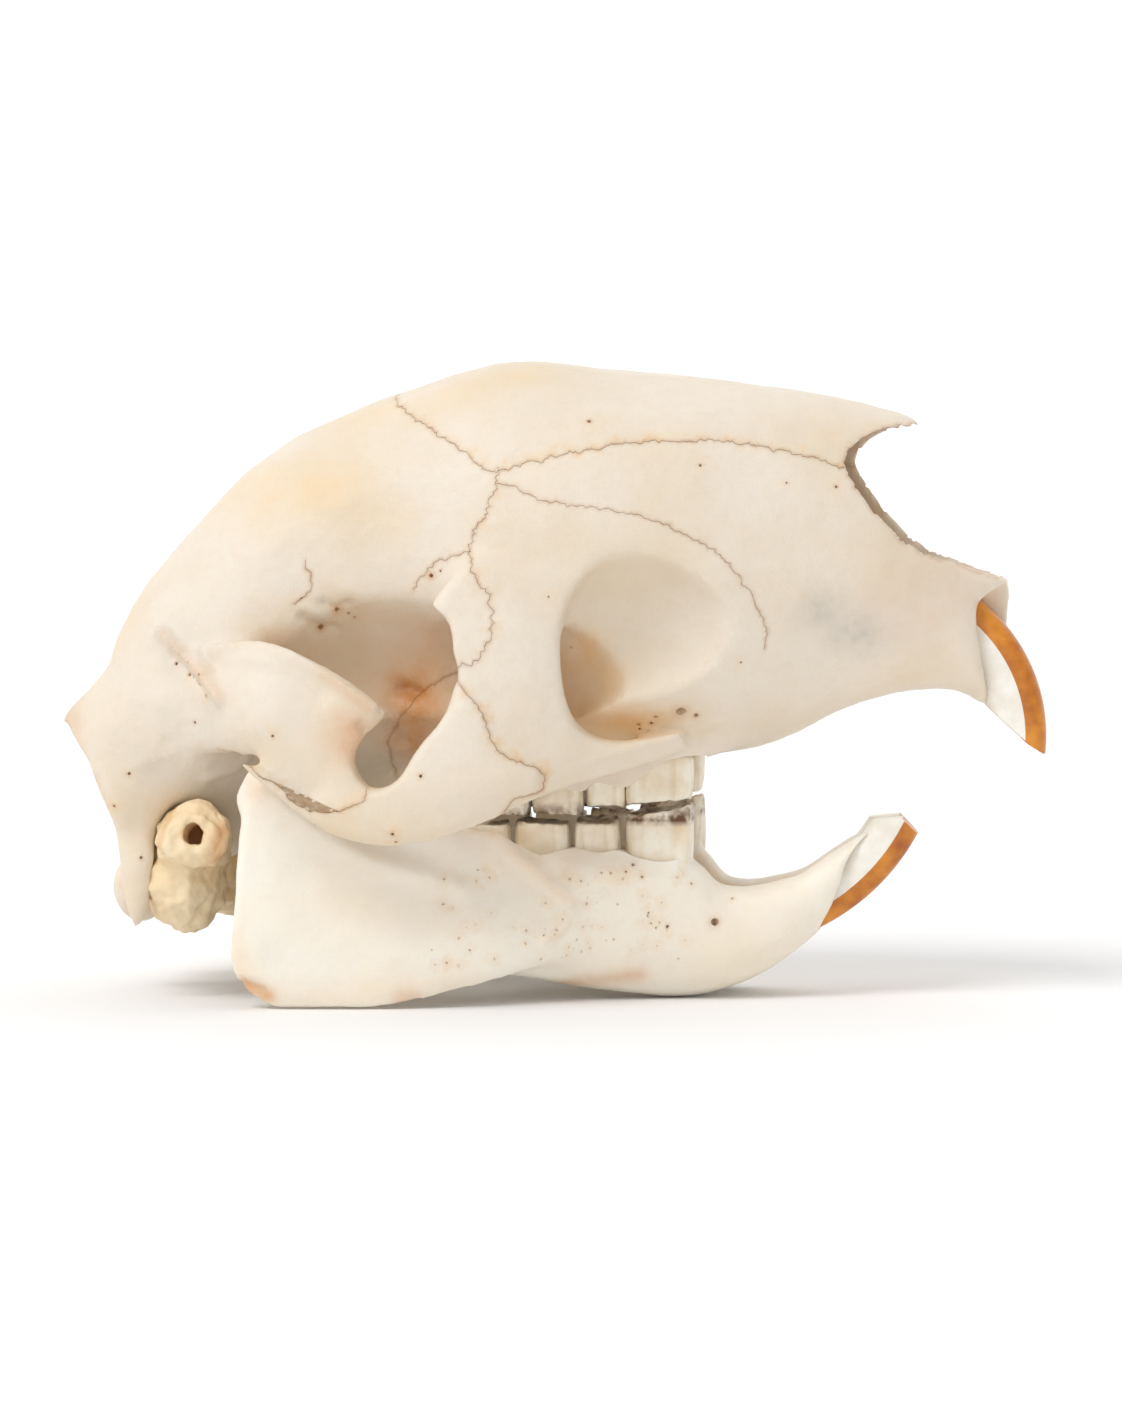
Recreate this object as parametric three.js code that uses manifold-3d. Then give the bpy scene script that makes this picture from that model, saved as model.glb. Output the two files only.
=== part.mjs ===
// The skull of a grown crested porcupine, jaws a little open, resting on its lower jaw.
// Millimetres. +X points to the snout, +Z up, the animal's right side is -Y, the floor is Z = 0.
// A bone is a skin stretched over slices. Each slice runs from a top point to a bottom point in the
// side view and bulges sideways between them. Teeth and processes are joined on, hollows are cut out.
import * as THREE from "three";
import { mergeVertices } from "three/addons/utils/BufferGeometryUtils.js";
import Module from "manifold-3d";

const wasm = await Module();
wasm.setup();

const GAP = 0.3; // between two bones that touch
const FAR_OUT = 60; // past the skull's side, where sideways cuts begin
const MERGE = 0.0001; // points nearer than this are one

const BONE = { color: 0xe9dcc6, roughness: 0.62 };
const EAR_BONE = { color: 0xe6cd9c, roughness: 0.7 };
const ENAMEL = { color: 0xcf7a1c, roughness: 0.3 };

// The rows of every bone: top X, top Z, bottom X, bottom Z, top Y, bottom Y, half the width, height
// share of the widest level, squareness of the upper and the lower half, where 2 is an ellipse.

const SHELL_ROWS = [
  [-77.2, 42.3, -64.5, 17.5, 0, 0, 20.5, 0.45, 2.6, 2.4],
  [-73.4, 46.6, -61.5, 17.0, 0, 0, 24.0, 0.47, 2.3, 2.1],
  [-69.2, 51.4, -58.5, 17.5, 0, 0, 26.5, 0.5, 2.2, 1.9],
  [-65.8, 60.8, -54.0, 19.0, 0, 0, 27.0, 0.5, 2.1, 1.8],
  [-56.6, 71.6, -48.0, 22.0, 0, 0, 27.0, 0.52, 2.1, 1.7],
  [-45.2, 83.3, -39.0, 26.0, 0, 0, 26.0, 0.54, 2.1, 1.6],
  [-32.0, 89.8, -29.0, 29.0, 0, 0, 24.5, 0.57, 2.2, 1.5],
  [-20.0, 94.3, -19.5, 30.5, 0, 0, 24.5, 0.57, 2.2, 1.5],
  [-9.0, 97.4, -10.0, 32.5, 0, 0, 27.0, 0.5, 2.2, 1.7],
  [2.0, 97.2, 0.5, 33.5, 0, 0, 28.5, 0.48, 2.2, 1.8],
  [12.0, 95.9, 11.0, 34.5, 0, 0, 28.0, 0.5, 2.2, 1.8],
  [22.5, 95.0, 22.5, 36.4, 0, 0, 26.0, 0.5, 2.3, 1.8],
  [33.5, 93.5, 34.0, 38.6, 0, 0, 23.0, 0.5, 2.3, 1.9],
  [43.5, 91.8, 44.5, 44.2, 0, 0, 20.0, 0.48, 2.3, 2.1],
  [51.0, 90.0, 54.0, 47.0, 0, 0, 16.8, 0.46, 2.3, 2.3],
  [55.9, 88.0, 62.0, 46.8, 0, 0, 13.0, 0.42, 2.2, 2.4],
  [62.0, 78.0, 66.0, 44.6, 0, 0, 10.0, 0.36, 2.1, 2.6],
  [69.8, 65.0, 68.6, 45.4, 0, 0, 7.6, 0.4, 2.1, 2.4],
];
const CHEEK_ROWS = [
  [-15.0, 62.0, -33.0, 28.8, -29.0, -35.5, 2.8, 0.5, 3, 3],
  [-12.0, 66.0, -26.0, 25.9, -27.5, -36.0, 3.0, 0.5, 3, 3],
  [-9.0, 69.0, -18.0, 25.2, -26.0, -35.0, 3.4, 0.5, 3, 3],
  [-3.0, 70.5, -8.0, 28.0, -24.6, -32.4, 3.8, 0.5, 3, 3],
  [2.0, 70.5, 0.0, 31.4, -23.6, -28.5, 4.0, 0.5, 3, 3],
  [7.0, 67.0, 8.0, 34.0, -23.0, -24.0, 4.2, 0.5, 3, 3],
  [13.0, 58.0, 16.0, 36.4, -21.5, -18.5, 4.2, 0.5, 3, 3],
  [19.0, 48.0, 22.0, 38.4, -18.5, -15.0, 3.6, 0.5, 3, 3],
];
const JUGAL_ROWS = [
  [-43.5, 37.6, -43.6, 37.0, -34.5, -34.5, 0.9, 0.5, 2.5, 2.5],
  [-40.0, 37.0, -41.0, 34.8, -35.0, -35.0, 1.5, 0.5, 2.5, 2.5],
  [-35.0, 35.6, -36.0, 30.9, -35.2, -35.6, 1.9, 0.5, 2.5, 2.5],
  [-28.0, 34.5, -30.0, 26.8, -35.0, -36.0, 2.3, 0.5, 2.5, 2.5],
  [-21.0, 40.0, -24.0, 25.0, -34.0, -36.0, 2.6, 0.5, 2.5, 2.5],
  [-11.0, 51.0, -16.0, 25.2, -31.4, -35.0, 2.9, 0.5, 2.5, 2.5],
  [-5.0, 50.0, -8.0, 27.8, -30.4, -33.0, 3.2, 0.5, 2.5, 2.5],
  [2.0, 40.0, 0.5, 31.0, -30.0, -30.4, 2.4, 0.5, 2.5, 2.5],
];
const SQUAMOSAL_ROWS = [
  [-57.0, 52.0, -57.0, 38.0, -22.0, -22.0, 4.0, 0.5, 2.2, 2.2],
  [-50.0, 54.0, -49.0, 37.6, -25.0, -25.0, 4.6, 0.5, 2.2, 2.2],
  [-44.0, 54.8, -43.0, 38.2, -28.0, -29.5, 5.0, 0.5, 2.2, 2.2],
  [-39.0, 54.8, -39.0, 36.4, -31.0, -33.0, 3.6, 0.5, 2.2, 2.2],
  [-34.6, 53.9, -33.6, 31.6, -32.6, -34.2, 2.4, 0.5, 2.2, 2.2],
  [-29.9, 51.8, -28.6, 30.8, -33.0, -34.8, 2.0, 0.5, 2.2, 2.2],
  [-25.6, 48.8, -26.3, 38.6, -33.0, -34.6, 1.8, 0.5, 2.2, 2.2],
  [-21.2, 45.2, -22.2, 43.4, -32.6, -32.8, 0.8, 0.5, 2.2, 2.2],
];
const TEMPLE_ROWS = [
  [-43, 58, -43, 24, -32.5, -33, 1.6, 0.5, 2, 2],
  [-38, 62, -38, 20, -30.5, -29.5, 4.2, 0.5, 2, 2],
  [-30, 62, -30, 20, -28, -27.0, 7.0, 0.5, 2, 2],
  [-20, 58, -20, 20, -26, -26.0, 7.5, 0.5, 2, 2],
  [-14, 54, -14, 24, -23, -26.0, 4.0, 0.5, 2, 2],
];
const ALVEOLUS_ROWS = [
  [-14.0, 41.0, -13.0, 33.0, -11.5, -12.5, 4.0, 0.4, 2.2, 3],
  [-8.0, 42.0, -8.0, 31.6, -11.0, -12.0, 5.2, 0.4, 2.2, 3],
  [2.0, 43.0, 2.0, 31.8, -10.0, -11.2, 5.4, 0.4, 2.2, 3],
  [12.0, 44.0, 12.0, 33.6, -8.8, -10.4, 5.2, 0.4, 2.2, 3],
  [20.0, 45.0, 20.0, 36.0, -7.4, -9.4, 4.8, 0.4, 2.2, 3],
  [27.0, 46.0, 27.5, 37.8, -6.0, -7.6, 3.6, 0.4, 2.2, 3],
];
const PAROCCIPITAL_ROWS = [
  [-66.0, 29.0, -63.6, 11.6, -19.5, -20.0, 1.2, 0.5, 2.2, 2.2],
  [-65.0, 33.0, -62.2, 10.3, -20.0, -20.0, 2.6, 0.5, 2.2, 2.2],
  [-62.6, 36.0, -60.4, 12.4, -21.0, -20.0, 2.8, 0.5, 2.2, 2.2],
  [-60.0, 37.0, -58.8, 18.0, -22.0, -20.4, 1.6, 0.5, 2.2, 2.2],
];
const PTERYGOID_ROWS = [
  [-37.0, 31.0, -37.5, 25.5, -7.0, -8.5, 0.8, 0.5, 2.5, 2.5],
  [-30.0, 34.0, -31.0, 24.5, -6.6, -8.0, 1.2, 0.5, 2.5, 2.5],
  [-22.0, 36.0, -21.0, 27.5, -6.8, -7.6, 1.5, 0.5, 2.5, 2.5],
  [-13.0, 38.0, -12.0, 31.0, -8.0, -8.4, 1.8, 0.5, 2.5, 2.5],
];
const CORPUS_ROWS = [
  [-20.0, 27.5, -17.0, 8.0, -20.5, -21.5, 3.4, 0.5, 2.6, 2.6],
  [-10.0, 26.6, -8.0, 5.0, -16.8, -19.0, 5.2, 0.5, 2.6, 2.4],
  [-2.0, 24.8, -1.0, 2.9, -14.4, -15.0, 6.2, 0.5, 2.8, 2.2],
  [6.0, 24.2, 5.5, 1.6, -12.6, -11.4, 6.4, 0.5, 2.8, 2.2],
  [13.7, 22.6, 12.5, 0.4, -10.9, -8.8, 6.2, 0.48, 2.8, 2.2],
  [21.5, 22.4, 19.5, -0.4, -9.0, -6.9, 6.0, 0.46, 2.6, 2.2],
  [25.6, 17.6, 26.0, 1.0, -7.4, -6.0, 5.8, 0.45, 2.4, 2.2],
  [31.0, 17.4, 31.2, 3.0, -6.4, -5.6, 5.4, 0.46, 2.4, 2.2],
  [38.0, 19.0, 36.2, 6.0, -5.4, -5.0, 4.9, 0.5, 2.3, 2.3],
  [45.0, 24.2, 39.4, 8.6, -4.5, -4.6, 4.4, 0.5, 2.3, 2.3],
  [51.8, 27.4, 41.8, 10.6, -3.7, -4.0, 3.5, 0.5, 2.4, 2.4],
];
const RAMUS_ROWS = [
  [-44.0, 30.5, -46.1, 6.2, -29.4, -30.0, 0.8, 0.5, 2.4, 2.4],
  [-42.6, 35.0, -44.6, 2.9, -29.2, -30.0, 1.9, 0.5, 2.4, 2.4],
  [-39.8, 36.1, -40.8, 0.6, -28.8, -29.8, 2.2, 0.5, 2.4, 2.4],
  [-36.0, 34.5, -35.0, -0.7, -28.2, -29.4, 1.9, 0.5, 2.4, 2.4],
  [-31.0, 30.0, -28.0, -0.5, -27.2, -28.8, 1.5, 0.5, 2.4, 2.4],
  [-23.0, 30.5, -21.0, 0.4, -24.8, -27.8, 1.5, 0.5, 2.4, 2.4],
  [-16.0, 28.6, -14.0, 1.8, -21.6, -26.2, 1.9, 0.5, 2.4, 2.4],
  [-9.0, 24.0, -7.0, 3.8, -19.6, -23.6, 2.4, 0.5, 2.4, 2.4],
  [-2.0, 16.0, 0.0, 5.6, -18.6, -20.0, 2.4, 0.5, 2.4, 2.4],
  [5.0, 11.0, 6.0, 7.0, -16.6, -16.4, 1.4, 0.5, 2.4, 2.4],
];

// Outlines in the side view, [X, Z] round each closed shape

const NOSTRIL_OUTLINE = [
  [56.8, 95.0], [56.3, 87.5], [54.0, 87.2], [50.2, 86.6], [47.2, 84.6], [45.4, 82.4], [46.2, 80.2],
  [48.4, 76.6], [52.2, 72.2], [56.4, 68.9], [61.0, 67.2], [65.6, 65.6], [69.2, 64.9], [76.0, 66.0],
  [76.0, 90.0],
];
const ORBIT_OUTLINE = [
  [-13.2, 58.7], [-12.1, 54.0], [-11.8, 49.0], [-13.0, 44.6], [-17.2, 39.6], [-19.7, 35.0],
  [-22.6, 33.6], [-25.0, 34.6], [-28.0, 42.0], [-30.0, 52.0], [-27.0, 60.0], [-20.0, 62.4],
];
const FOSSA_OUTLINE = [
  [3.6, 55.5], [4.4, 47.5], [6.2, 42.4], [10.5, 40.3], [18.4, 41.0], [26.0, 43.4], [31.5, 48.0],
  [33.0, 58.0], [27.0, 67.0], [17.0, 69.6], [9.5, 66.6], [5.2, 61.8],
];
const NAPE_OUTLINE = [
  [-79.0, 42.4], [-74.6, 41.6], [-72.2, 39.4], [-69.6, 36.8], [-67.7, 32.6], [-65.4, 26.6],
  [-63.9, 23.0], [-63.6, 18.0], [-62.4, 8.0], [-90.0, 8.0], [-90.0, 42.4],
];
const UPPER_SOCKET_OUTLINE = [
  [68.8, 63.4], [66.6, 62.0], [64.8, 60.2], [65.0, 56.0], [65.6, 52.0], [66.4, 48.6], [67.3, 44.9],
  [67.3, 40.0], [80.0, 40.0], [80.0, 63.4],
];
const LOWER_SOCKET_OUTLINE = [
  [51.9, 27.0], [49.6, 26.0], [47.4, 24.2], [45.4, 21.0], [44.4, 17.6], [43.2, 14.2], [41.4, 10.8],
  [40.0, 0.0], [70.0, 0.0], [70.0, 27.0],
];
const NASAL_OUTLINE = [
  [-26.0, 104.0], [-25.0, 92.6], [-17.9, 87.6], [-12.4, 84.1], [-7.2, 80.8], [-1.8, 81.8],
  [3.5, 83.0], [9.3, 84.2], [15.2, 85.0], [24.0, 85.3], [29.8, 84.8], [35.7, 83.8], [41.5, 82.4],
  [45.6, 81.2], [52.0, 80.4], [70.0, 80.0], [70.0, 104.0],
];
const SNOUT_OUTLINE = [
  [-5.8, 80.4], [-6.4, 77.0], [-7.8, 74.0], [-9.9, 69.0], [-13.0, 66.0], [-15.4, 62.0], [-16.4, 56.0],
  [-16.0, 48.0], [-15.0, 40.0], [-16.5, 34.0], [-17.5, 20.0], [90.0, 20.0], [90.0, 79.0],
  [52.0, 80.4], [45.6, 81.2], [41.5, 82.4], [35.7, 83.8], [29.8, 84.8], [24.0, 85.3], [15.2, 85.0],
  [9.3, 84.2], [3.5, 83.0], [-1.8, 81.8],
];
const JUGAL_OUTLINE = [
  [-46.0, 38.6], [-40.6, 36.6], [-36.0, 33.6], [-32.3, 31.9], [-28.4, 31.4], [-24.6, 32.6],
  [-22.4, 36.0], [-19.0, 42.0], [-14.5, 48.0], [-11.4, 51.8], [-10.8, 49.1], [-7.5, 45.4],
  [-5.7, 40.4], [-1.7, 37.8], [1.6, 35.8], [1.1, 33.2], [-3.4, 30.8], [-8.0, 24.0], [-26.0, 20.0],
  [-46.0, 30.0],
];

const UPPER_BEVEL_OUTLINE = [
  [60.0, 40.0], [66.6, 44.8], [70.4, 41.0], [73.2, 38.6], [75.0, 37.7], [77.0, 36.0], [60.0, 30.0],
];
const LOWER_BEVEL_OUTLINE = [
  [44.0, 29.0], [49.6, 27.2], [52.6, 27.9], [54.4, 27.0], [56.1, 25.2], [62.0, 27.0], [52.0, 36.0],
];

// The room inside the snout, in rows like the bones'

const NOSE_ROOM_ROWS = [
  [14.0, 84.0, 16.0, 60.0, 0, 0, 8.0, 0.5, 2.2, 2.2],
  [22.0, 90.0, 23.0, 53.0, 0, 0, 14.0, 0.52, 2.2, 2.2],
  [32.0, 91.4, 33.0, 55.0, 0, 0, 17.0, 0.5, 2.2, 2.2],
  [42.0, 90.2, 44.0, 60.0, 0, 0, 17.4, 0.48, 2.2, 2.2],
  [49.0, 88.6, 52.0, 64.0, 0, 0, 14.9, 0.46, 2.2, 2.2],
  [55.0, 86.9, 59.0, 65.0, 0, 0, 11.4, 0.42, 2.2, 2.2],
  [62.0, 84.0, 66.5, 63.4, 0, 0, 6.8, 0.4, 2.2, 2.2],
  [74.0, 80.0, 80.0, 63.4, 0, 0, 5.6, 0.4, 2.2, 2.2],
];

// Hollows and knobs that are eggs: the middle, the three radii, then the pitch and the turn
// On the right side where the middle's Y isn't 0

const ORBIT_HOLLOW = { middle: [-23, -35, 47], radii: [21, 20.5, 17.5], turn: -0.12 };
const TEMPLE_HOLLOW = { middle: [-30, -29, 36], radii: [13, 12, 10] };
const BAR_HOLLOW = { middle: [-7, -20.8, 50], radii: [21, 6.4, 8.6], turn: 0.03 };
const CHEEK_HOLLOW = { middle: [15, -38.5, 54.6], radii: [20.5, 21.5, 16.2], turn: -0.14 };
const FORAMEN_MAGNUM = { middle: [-69, 0, 23.6], radii: [14, 8.2, 7.4] };
const PALATE_HOLLOW = { middle: [2, 0, 29], radii: [27, 6.2, 8.4], pitch: 0.16 };
const THROAT = { middle: [-26, 0, 27.5], radii: [13, 5.2, 6.8] };
const CONDYLE = { middle: [-64.6, -7.6, 15.6], radii: [4.2, 4.6, 5.6], pitch: 0.3 };
const JAW_HEAD = { middle: [-39.6, -29, 34.6], radii: [4.4, 2.6, 2.0], pitch: -0.1 };
const EAR_BULB = { middle: [-55.4, -15.5, 18.4], radii: [6.4, 7.4, 8.8] };

// The ear's tube, each station an X, Y, Z and a radius

const EAR_TUBE = [[-54.5, -16, 23, 5.6], [-53, -22, 25, 5.4], [-51.6, -27.6, 25.9, 4.7]];
const EAR_TUBE_ROOM = [[-54.5, -16, 23, 6.1], [-53, -22, 25.2, 6.0], [-51.5, -31, 26.2, 5.5]];
const EAR_HOLE = [[-53, -20, 24.6, 1.4], [-52.2, -25, 25.6, 1.6], [-51.4, -29, 26.1, 2.2]];

// Other sizes

const ORBIT_DEPTH = -24; // the rim of the orbit is cut out as far in as this
const CHEEKBONE_ROOM = -27; // so is the cheekbone's place in the cranium
const SHEATH = 1.5; // the bone round an incisor's root, gap included
const SEPTUM = 1; // half of the bone wall that stays between two incisors
const SHELL_DISH = 5; // the nape is hollowed behind its crest
const SHARPEST = 0.2; // half the thickness of the thinnest slice
const CHEEK_TOOTH = { width: 7.4, corner: 2.6, square: 3.4, shoulder: 0.2 };
// Each row of cheek teeth from the front: middle X, length, worn end's Z behind and in front
const UPPER_TEETH = {
  root: 38.6, y: -9.8, outwards: 0.7,
  teeth: [
    [17.0, 8.6, 29.4, 31.2], [8.5, 8.3, 29.8, 29.9], [0.4, 8.0, 28.4, 29.4], [-7.2, 7.7, 28.8, 28.4],
  ],
};
const LOWER_TEETH = {
  root: 15, y: -10.2, outwards: 0.9,
  teeth: [
    [17.2, 8.6, 27.6, 30.4], [8.2, 8.3, 27.3, 27.2], [0.0, 8.0, 27.6, 27.2], [-8.2, 7.7, 27.4, 27.4],
  ],
};
// An incisor is part of a ring in the side view, between two angles round the ring's middle
const UPPER_INCISOR = {
  x: 49.2, y: -3.55, z: 40.3, outer: 26.3, depth: 7.8, width: 5.6, from: 2.05, to: -0.1,
};
const LOWER_INCISOR = {
  x: 25.4, y: -3.4, z: 41.4, outer: 34.5, depth: 6.4, width: 5.0, from: -1.45, to: -0.45,
};
const LEFT_INCISORS_BACK = 0.8; // the left incisors have grown out this much less

// Sums that every bone uses

const { lerp, clamp } = THREE.MathUtils;
const RIGHT_ANGLE = Math.PI / 2;
const power = (value, exponent) => Math.sign(value) * Math.abs(value) ** exponent;

// A smooth function through rows of numbers, one row for each step of the position.
function through(rows) {
  const steps = rows.map((row, index) => index);
  const curve = new THREE.CubicInterpolant(steps, rows.flat(), rows[0].length);
  return (position) => Array.from(curve.evaluate(clamp(position, 0, steps.at(-1))));
}

// A geometry with only its points, and one point where several lie together.
function bare(geometry) {
  geometry.deleteAttribute("normal");
  geometry.deleteAttribute("uv");
  return mergeVertices(geometry, MERGE);
}

// A geometry as a solid, its faces turned outwards.
function solid(geometry) {
  const merged = bare(geometry);
  const triVerts = new Uint32Array(merged.index.array);
  const vertProperties = new Float32Array(merged.getAttribute("position").array);
  const made = new wasm.Manifold(new wasm.Mesh({ numProp: 3, vertProperties, triVerts }));
  if (made.volume() > 0) return made;
  triVerts.reverse();
  return new wasm.Manifold(new wasm.Mesh({ numProp: 3, vertProperties, triVerts }));
}

// A sphere whose points move to place(row, angle): the row runs from 0 to along between its poles,
// and the angle is 0 at the top, positive on the left side and PI at the bottom.
function skin(place, around, along) {
  const made = bare(new THREE.SphereGeometry(1, around, along));
  const points = made.getAttribute("position");
  const turn = (2 * Math.PI) / around;
  for (let i = 0; i < points.count; i++) {
    const row = Math.round((Math.acos(clamp(points.getY(i), -1, 1)) / Math.PI) * along);
    const angle = Math.round(Math.atan2(points.getZ(i), points.getX(i)) / turn) * turn;
    points.setXYZ(i, ...place(row, angle));
  }
  return solid(made);
}

const joined = (...solids) => solids.reduce((all, one) => all.add(one));
const largest = (made) =>
  made.decompose().reduce((best, one) => (one.volume() > best.volume() ? one : best));
const mirrored = (made) => made.mirror([0, 1, 0]);
const paired = (made) => made.add(mirrored(made));

// The point of a slice at an angle.
function slicePoint(slice, angle) {
  const [topX, topZ, bottomX, bottomZ, topY, bottomY, half, level, squareTop, squareBottom] = slice;
  const up = Math.cos(angle);
  const exponent = 2 / (up > 0 ? squareTop : squareBottom);
  const height = power(up, exponent);
  const share = up > 0 ? lerp(level, 1, height) : lerp(0, level, 1 + height);
  return [
    lerp(bottomX, topX, share),
    lerp(bottomY, topY, share) + Math.max(half, SHARPEST) * power(Math.sin(angle), exponent),
    lerp(bottomZ, topZ, share),
  ];
}

// A bone over its rows. The end slices are drawn in a little, so that no edge is knife-sharp, and
// dish sinks the middle of the first one.
function bone(rows, { around, along, dish = 0, caps = 2 }) {
  const slices = through(rows);
  const body = along - 2 * caps;
  const place = (row, angle) => {
    const fromEnd = Math.min(row, along - row);
    const slice = slices((clamp(row - caps, 0, body) / body) * (rows.length - 1));
    const reach = fromEnd >= caps ? 1 : fromEnd / caps;
    const rim = slicePoint(slice, angle);
    const core = slicePoint(slice, RIGHT_ANGLE);
    core[1] = lerp(slice[5], slice[4], slice[7]);
    const sink = row < caps ? dish * (1 - reach ** 2) : 0;
    return rim.map((value, axis) => lerp(core[axis], value, reach) + (axis === 0 ? sink : 0));
  };
  return skin(place, around, along);
}

// An egg, pitched in the side view and then turned in the top view.
function egg({ middle, radii, pitch = 0, turn = 0 }, around, along, grow = 0) {
  const made = new THREE.SphereGeometry(1, around, along);
  made.scale(...radii.map((radius) => radius + grow));
  made.rotateY(-pitch).rotateZ(turn).translate(...middle);
  return solid(made);
}

// A plate of a side-view outline between two Y levels.
function plate(outline, fromY, toY) {
  const shape = new THREE.Shape(outline.map(([x, z]) => new THREE.Vector2(x, z)));
  const made = new THREE.ExtrudeGeometry(shape, { depth: toY - fromY, bevelEnabled: false });
  return solid(made.rotateX(RIGHT_ANGLE).translate(0, toY, 0));
}

// The same outline with rounded corners, drawn through its points with this many steps.
function smooth(outline, steps) {
  const points = outline.map(([x, z]) => new THREE.Vector3(x, z, 0));
  const curve = new THREE.CatmullRomCurve3(points, true, "centripetal");
  return curve.getPoints(steps).slice(1).map(({ x, y }) => [x, y]);
}

// An outline pushed out on all sides, a positive margin making it larger.
function widened(outline, margin) {
  const area = THREE.ShapeUtils.area(outline.map(([x, y]) => ({ x, y })));
  return outline.map(([x, z], index) => {
    const [beforeX, beforeZ] = outline.at(index - 1);
    const [afterX, afterZ] = outline[(index + 1) % outline.length];
    const along = new THREE.Vector2(afterX - beforeX, afterZ - beforeZ).normalize();
    const side = Math.sign(area) * margin;
    return [x + along.y * side, z - along.x * side];
  });
}

// A round tube that follows its stations along a smooth curve, mostly across the skull.
function tube(stations, around, along) {
  const centre = through(stations);
  const at = (row) => centre((clamp(row - 1, 0, along - 2) / (along - 2)) * (stations.length - 1));
  const place = (row, angle) => {
    const [x, y, z, radius] = at(row);
    const before = new THREE.Vector3(...at(Math.max(row - 0.5, 1)));
    const after = new THREE.Vector3(...at(Math.min(row + 0.5, along - 1)));
    const ahead = after.sub(before).normalize();
    const side = new THREE.Vector3(1, 0, 0).addScaledVector(ahead, -ahead.x).normalize();
    const up = new THREE.Vector3().crossVectors(ahead, side);
    const reach = row === 0 || row === along ? 0 : radius;
    return new THREE.Vector3(x, y, z)
      .addScaledVector(side, Math.sin(angle) * reach)
      .addScaledVector(up, Math.cos(angle) * reach)
      .toArray();
  };
  return skin(place, around, along);
}

// Everything on one side of a level, as a block to cut with.
const block = ([fromX, fromZ], [toX, toZ], fromY, toY) =>
  plate([[fromX, fromZ], [toX, fromZ], [toX, toZ], [fromX, toZ]], fromY, toY);

// Teeth

// A cheek tooth, a worn peg with a rounded square crown.
function cheekTooth([x, length, back, front], y, root) {
  const { width, corner, square, shoulder } = CHEEK_TOOTH;
  const row = (share, wide) => {
    const along = x + (share - 0.5) * length;
    const ends = [root, lerp(back, front, share)];
    return [along, Math.max(...ends), along, Math.min(...ends), y, y, wide, 0.5, square, square];
  };
  const full = width / 2;
  const rows = [row(0, corner), row(shoulder, full), row(1 - shoulder, full), row(1, corner)];
  return bone(rows, { around: 10, along: 7, caps: 1 });
}

const rowOfTeeth = ({ root, y, outwards, teeth }) =>
  joined(...teeth.map((tooth, index) => cheekTooth(tooth, y - outwards * index, root)));
const upperTeeth = rowOfTeeth(UPPER_TEETH);
const lowerTeeth = rowOfTeeth(LOWER_TEETH);

// An incisor before its bevel is ground off.
function ringTooth({ x, y, z, outer, depth, width, from, to }, grow = 0) {
  const middle = outer - depth / 2;
  const start = from + (Math.sign(from - to) * grow) / middle;
  const along = 14;
  const place = (row, angle) => {
    const turn = lerp(start, to, clamp((row - 1) / (along - 2), 0, 1));
    const reach = row === 0 || row === along ? 0 : 1;
    const out = middle + reach * (depth / 2 + grow) * power(Math.cos(angle), 0.75);
    const side = reach * (width / 2 + grow) * power(Math.sin(angle), 0.75);
    return [x + out * Math.cos(turn), y + side, z + out * Math.sin(turn)];
  };
  return skin(place, 12, along);
}

const across = (outline) => plate(outline, -FAR_OUT, FAR_OUT);
const leftBack = [-LEFT_INCISORS_BACK, 0, 0];
const upperIncisor = ringTooth(UPPER_INCISOR).subtract(across(UPPER_BEVEL_OUTLINE));
const lowerIncisor = ringTooth(LOWER_INCISOR).subtract(across(LOWER_BEVEL_OUTLINE));

// Ear bone, and the room that it takes in the cranium

const bulla = joined(egg(EAR_BULB, 14, 10), tube(EAR_TUBE, 14, 6)).subtract(tube(EAR_HOLE, 8, 5));
const bullaRoom = joined(egg(EAR_BULB, 14, 10, GAP), tube(EAR_TUBE_ROOM, 14, 6));

// Cheekbone, and its room

const orbitRim = smooth(ORBIT_OUTLINE, 22);
const jugal = bone(JUGAL_ROWS, { around: 12, along: 16 })
  .subtract(plate(orbitRim, -FAR_OUT, 0))
  .intersect(plate(JUGAL_OUTLINE, -FAR_OUT, 0));
const jugalRoom = plate(widened(JUGAL_OUTLINE, GAP), -FAR_OUT, CHEEKBONE_ROOM);

// Cranium

const cheekWindow = plate(smooth(FOSSA_OUTLINE, 24), -FAR_OUT, 0);
const shell = bone(SHELL_ROWS, { around: 32, along: 38, dish: SHELL_DISH, caps: 3 })
  .subtract(across(NAPE_OUTLINE))
  .subtract(paired(joined(egg(ORBIT_HOLLOW, 18, 10), egg(TEMPLE_HOLLOW, 12, 8))))
  .subtract(paired(bone(TEMPLE_ROWS, { around: 12, along: 10 })))
  .subtract(paired(egg(CHEEK_HOLLOW, 18, 10).intersect(cheekWindow)));
const oneSide = joined(
  bone(CHEEK_ROWS, { around: 14, along: 16 })
    .subtract(plate(orbitRim, -FAR_OUT, ORBIT_DEPTH))
    .subtract(cheekWindow),
  bone(SQUAMOSAL_ROWS, { around: 12, along: 14 }),
  bone(ALVEOLUS_ROWS, { around: 12, along: 9 }),
  bone(PAROCCIPITAL_ROWS, { around: 10, along: 8 }),
  bone(PTERYGOID_ROWS, { around: 8, along: 7 }),
  egg(CONDYLE, 12, 8),
);
const bothIncisors = { y: 0, width: UPPER_INCISOR.width - 2 * UPPER_INCISOR.y };
const incisorSheath = ringTooth({ ...UPPER_INCISOR, ...bothIncisors }, SHEATH);
const noseRoom = bone(NOSE_ROOM_ROWS, { around: 16, along: 11 }).subtract(incisorSheath);
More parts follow.
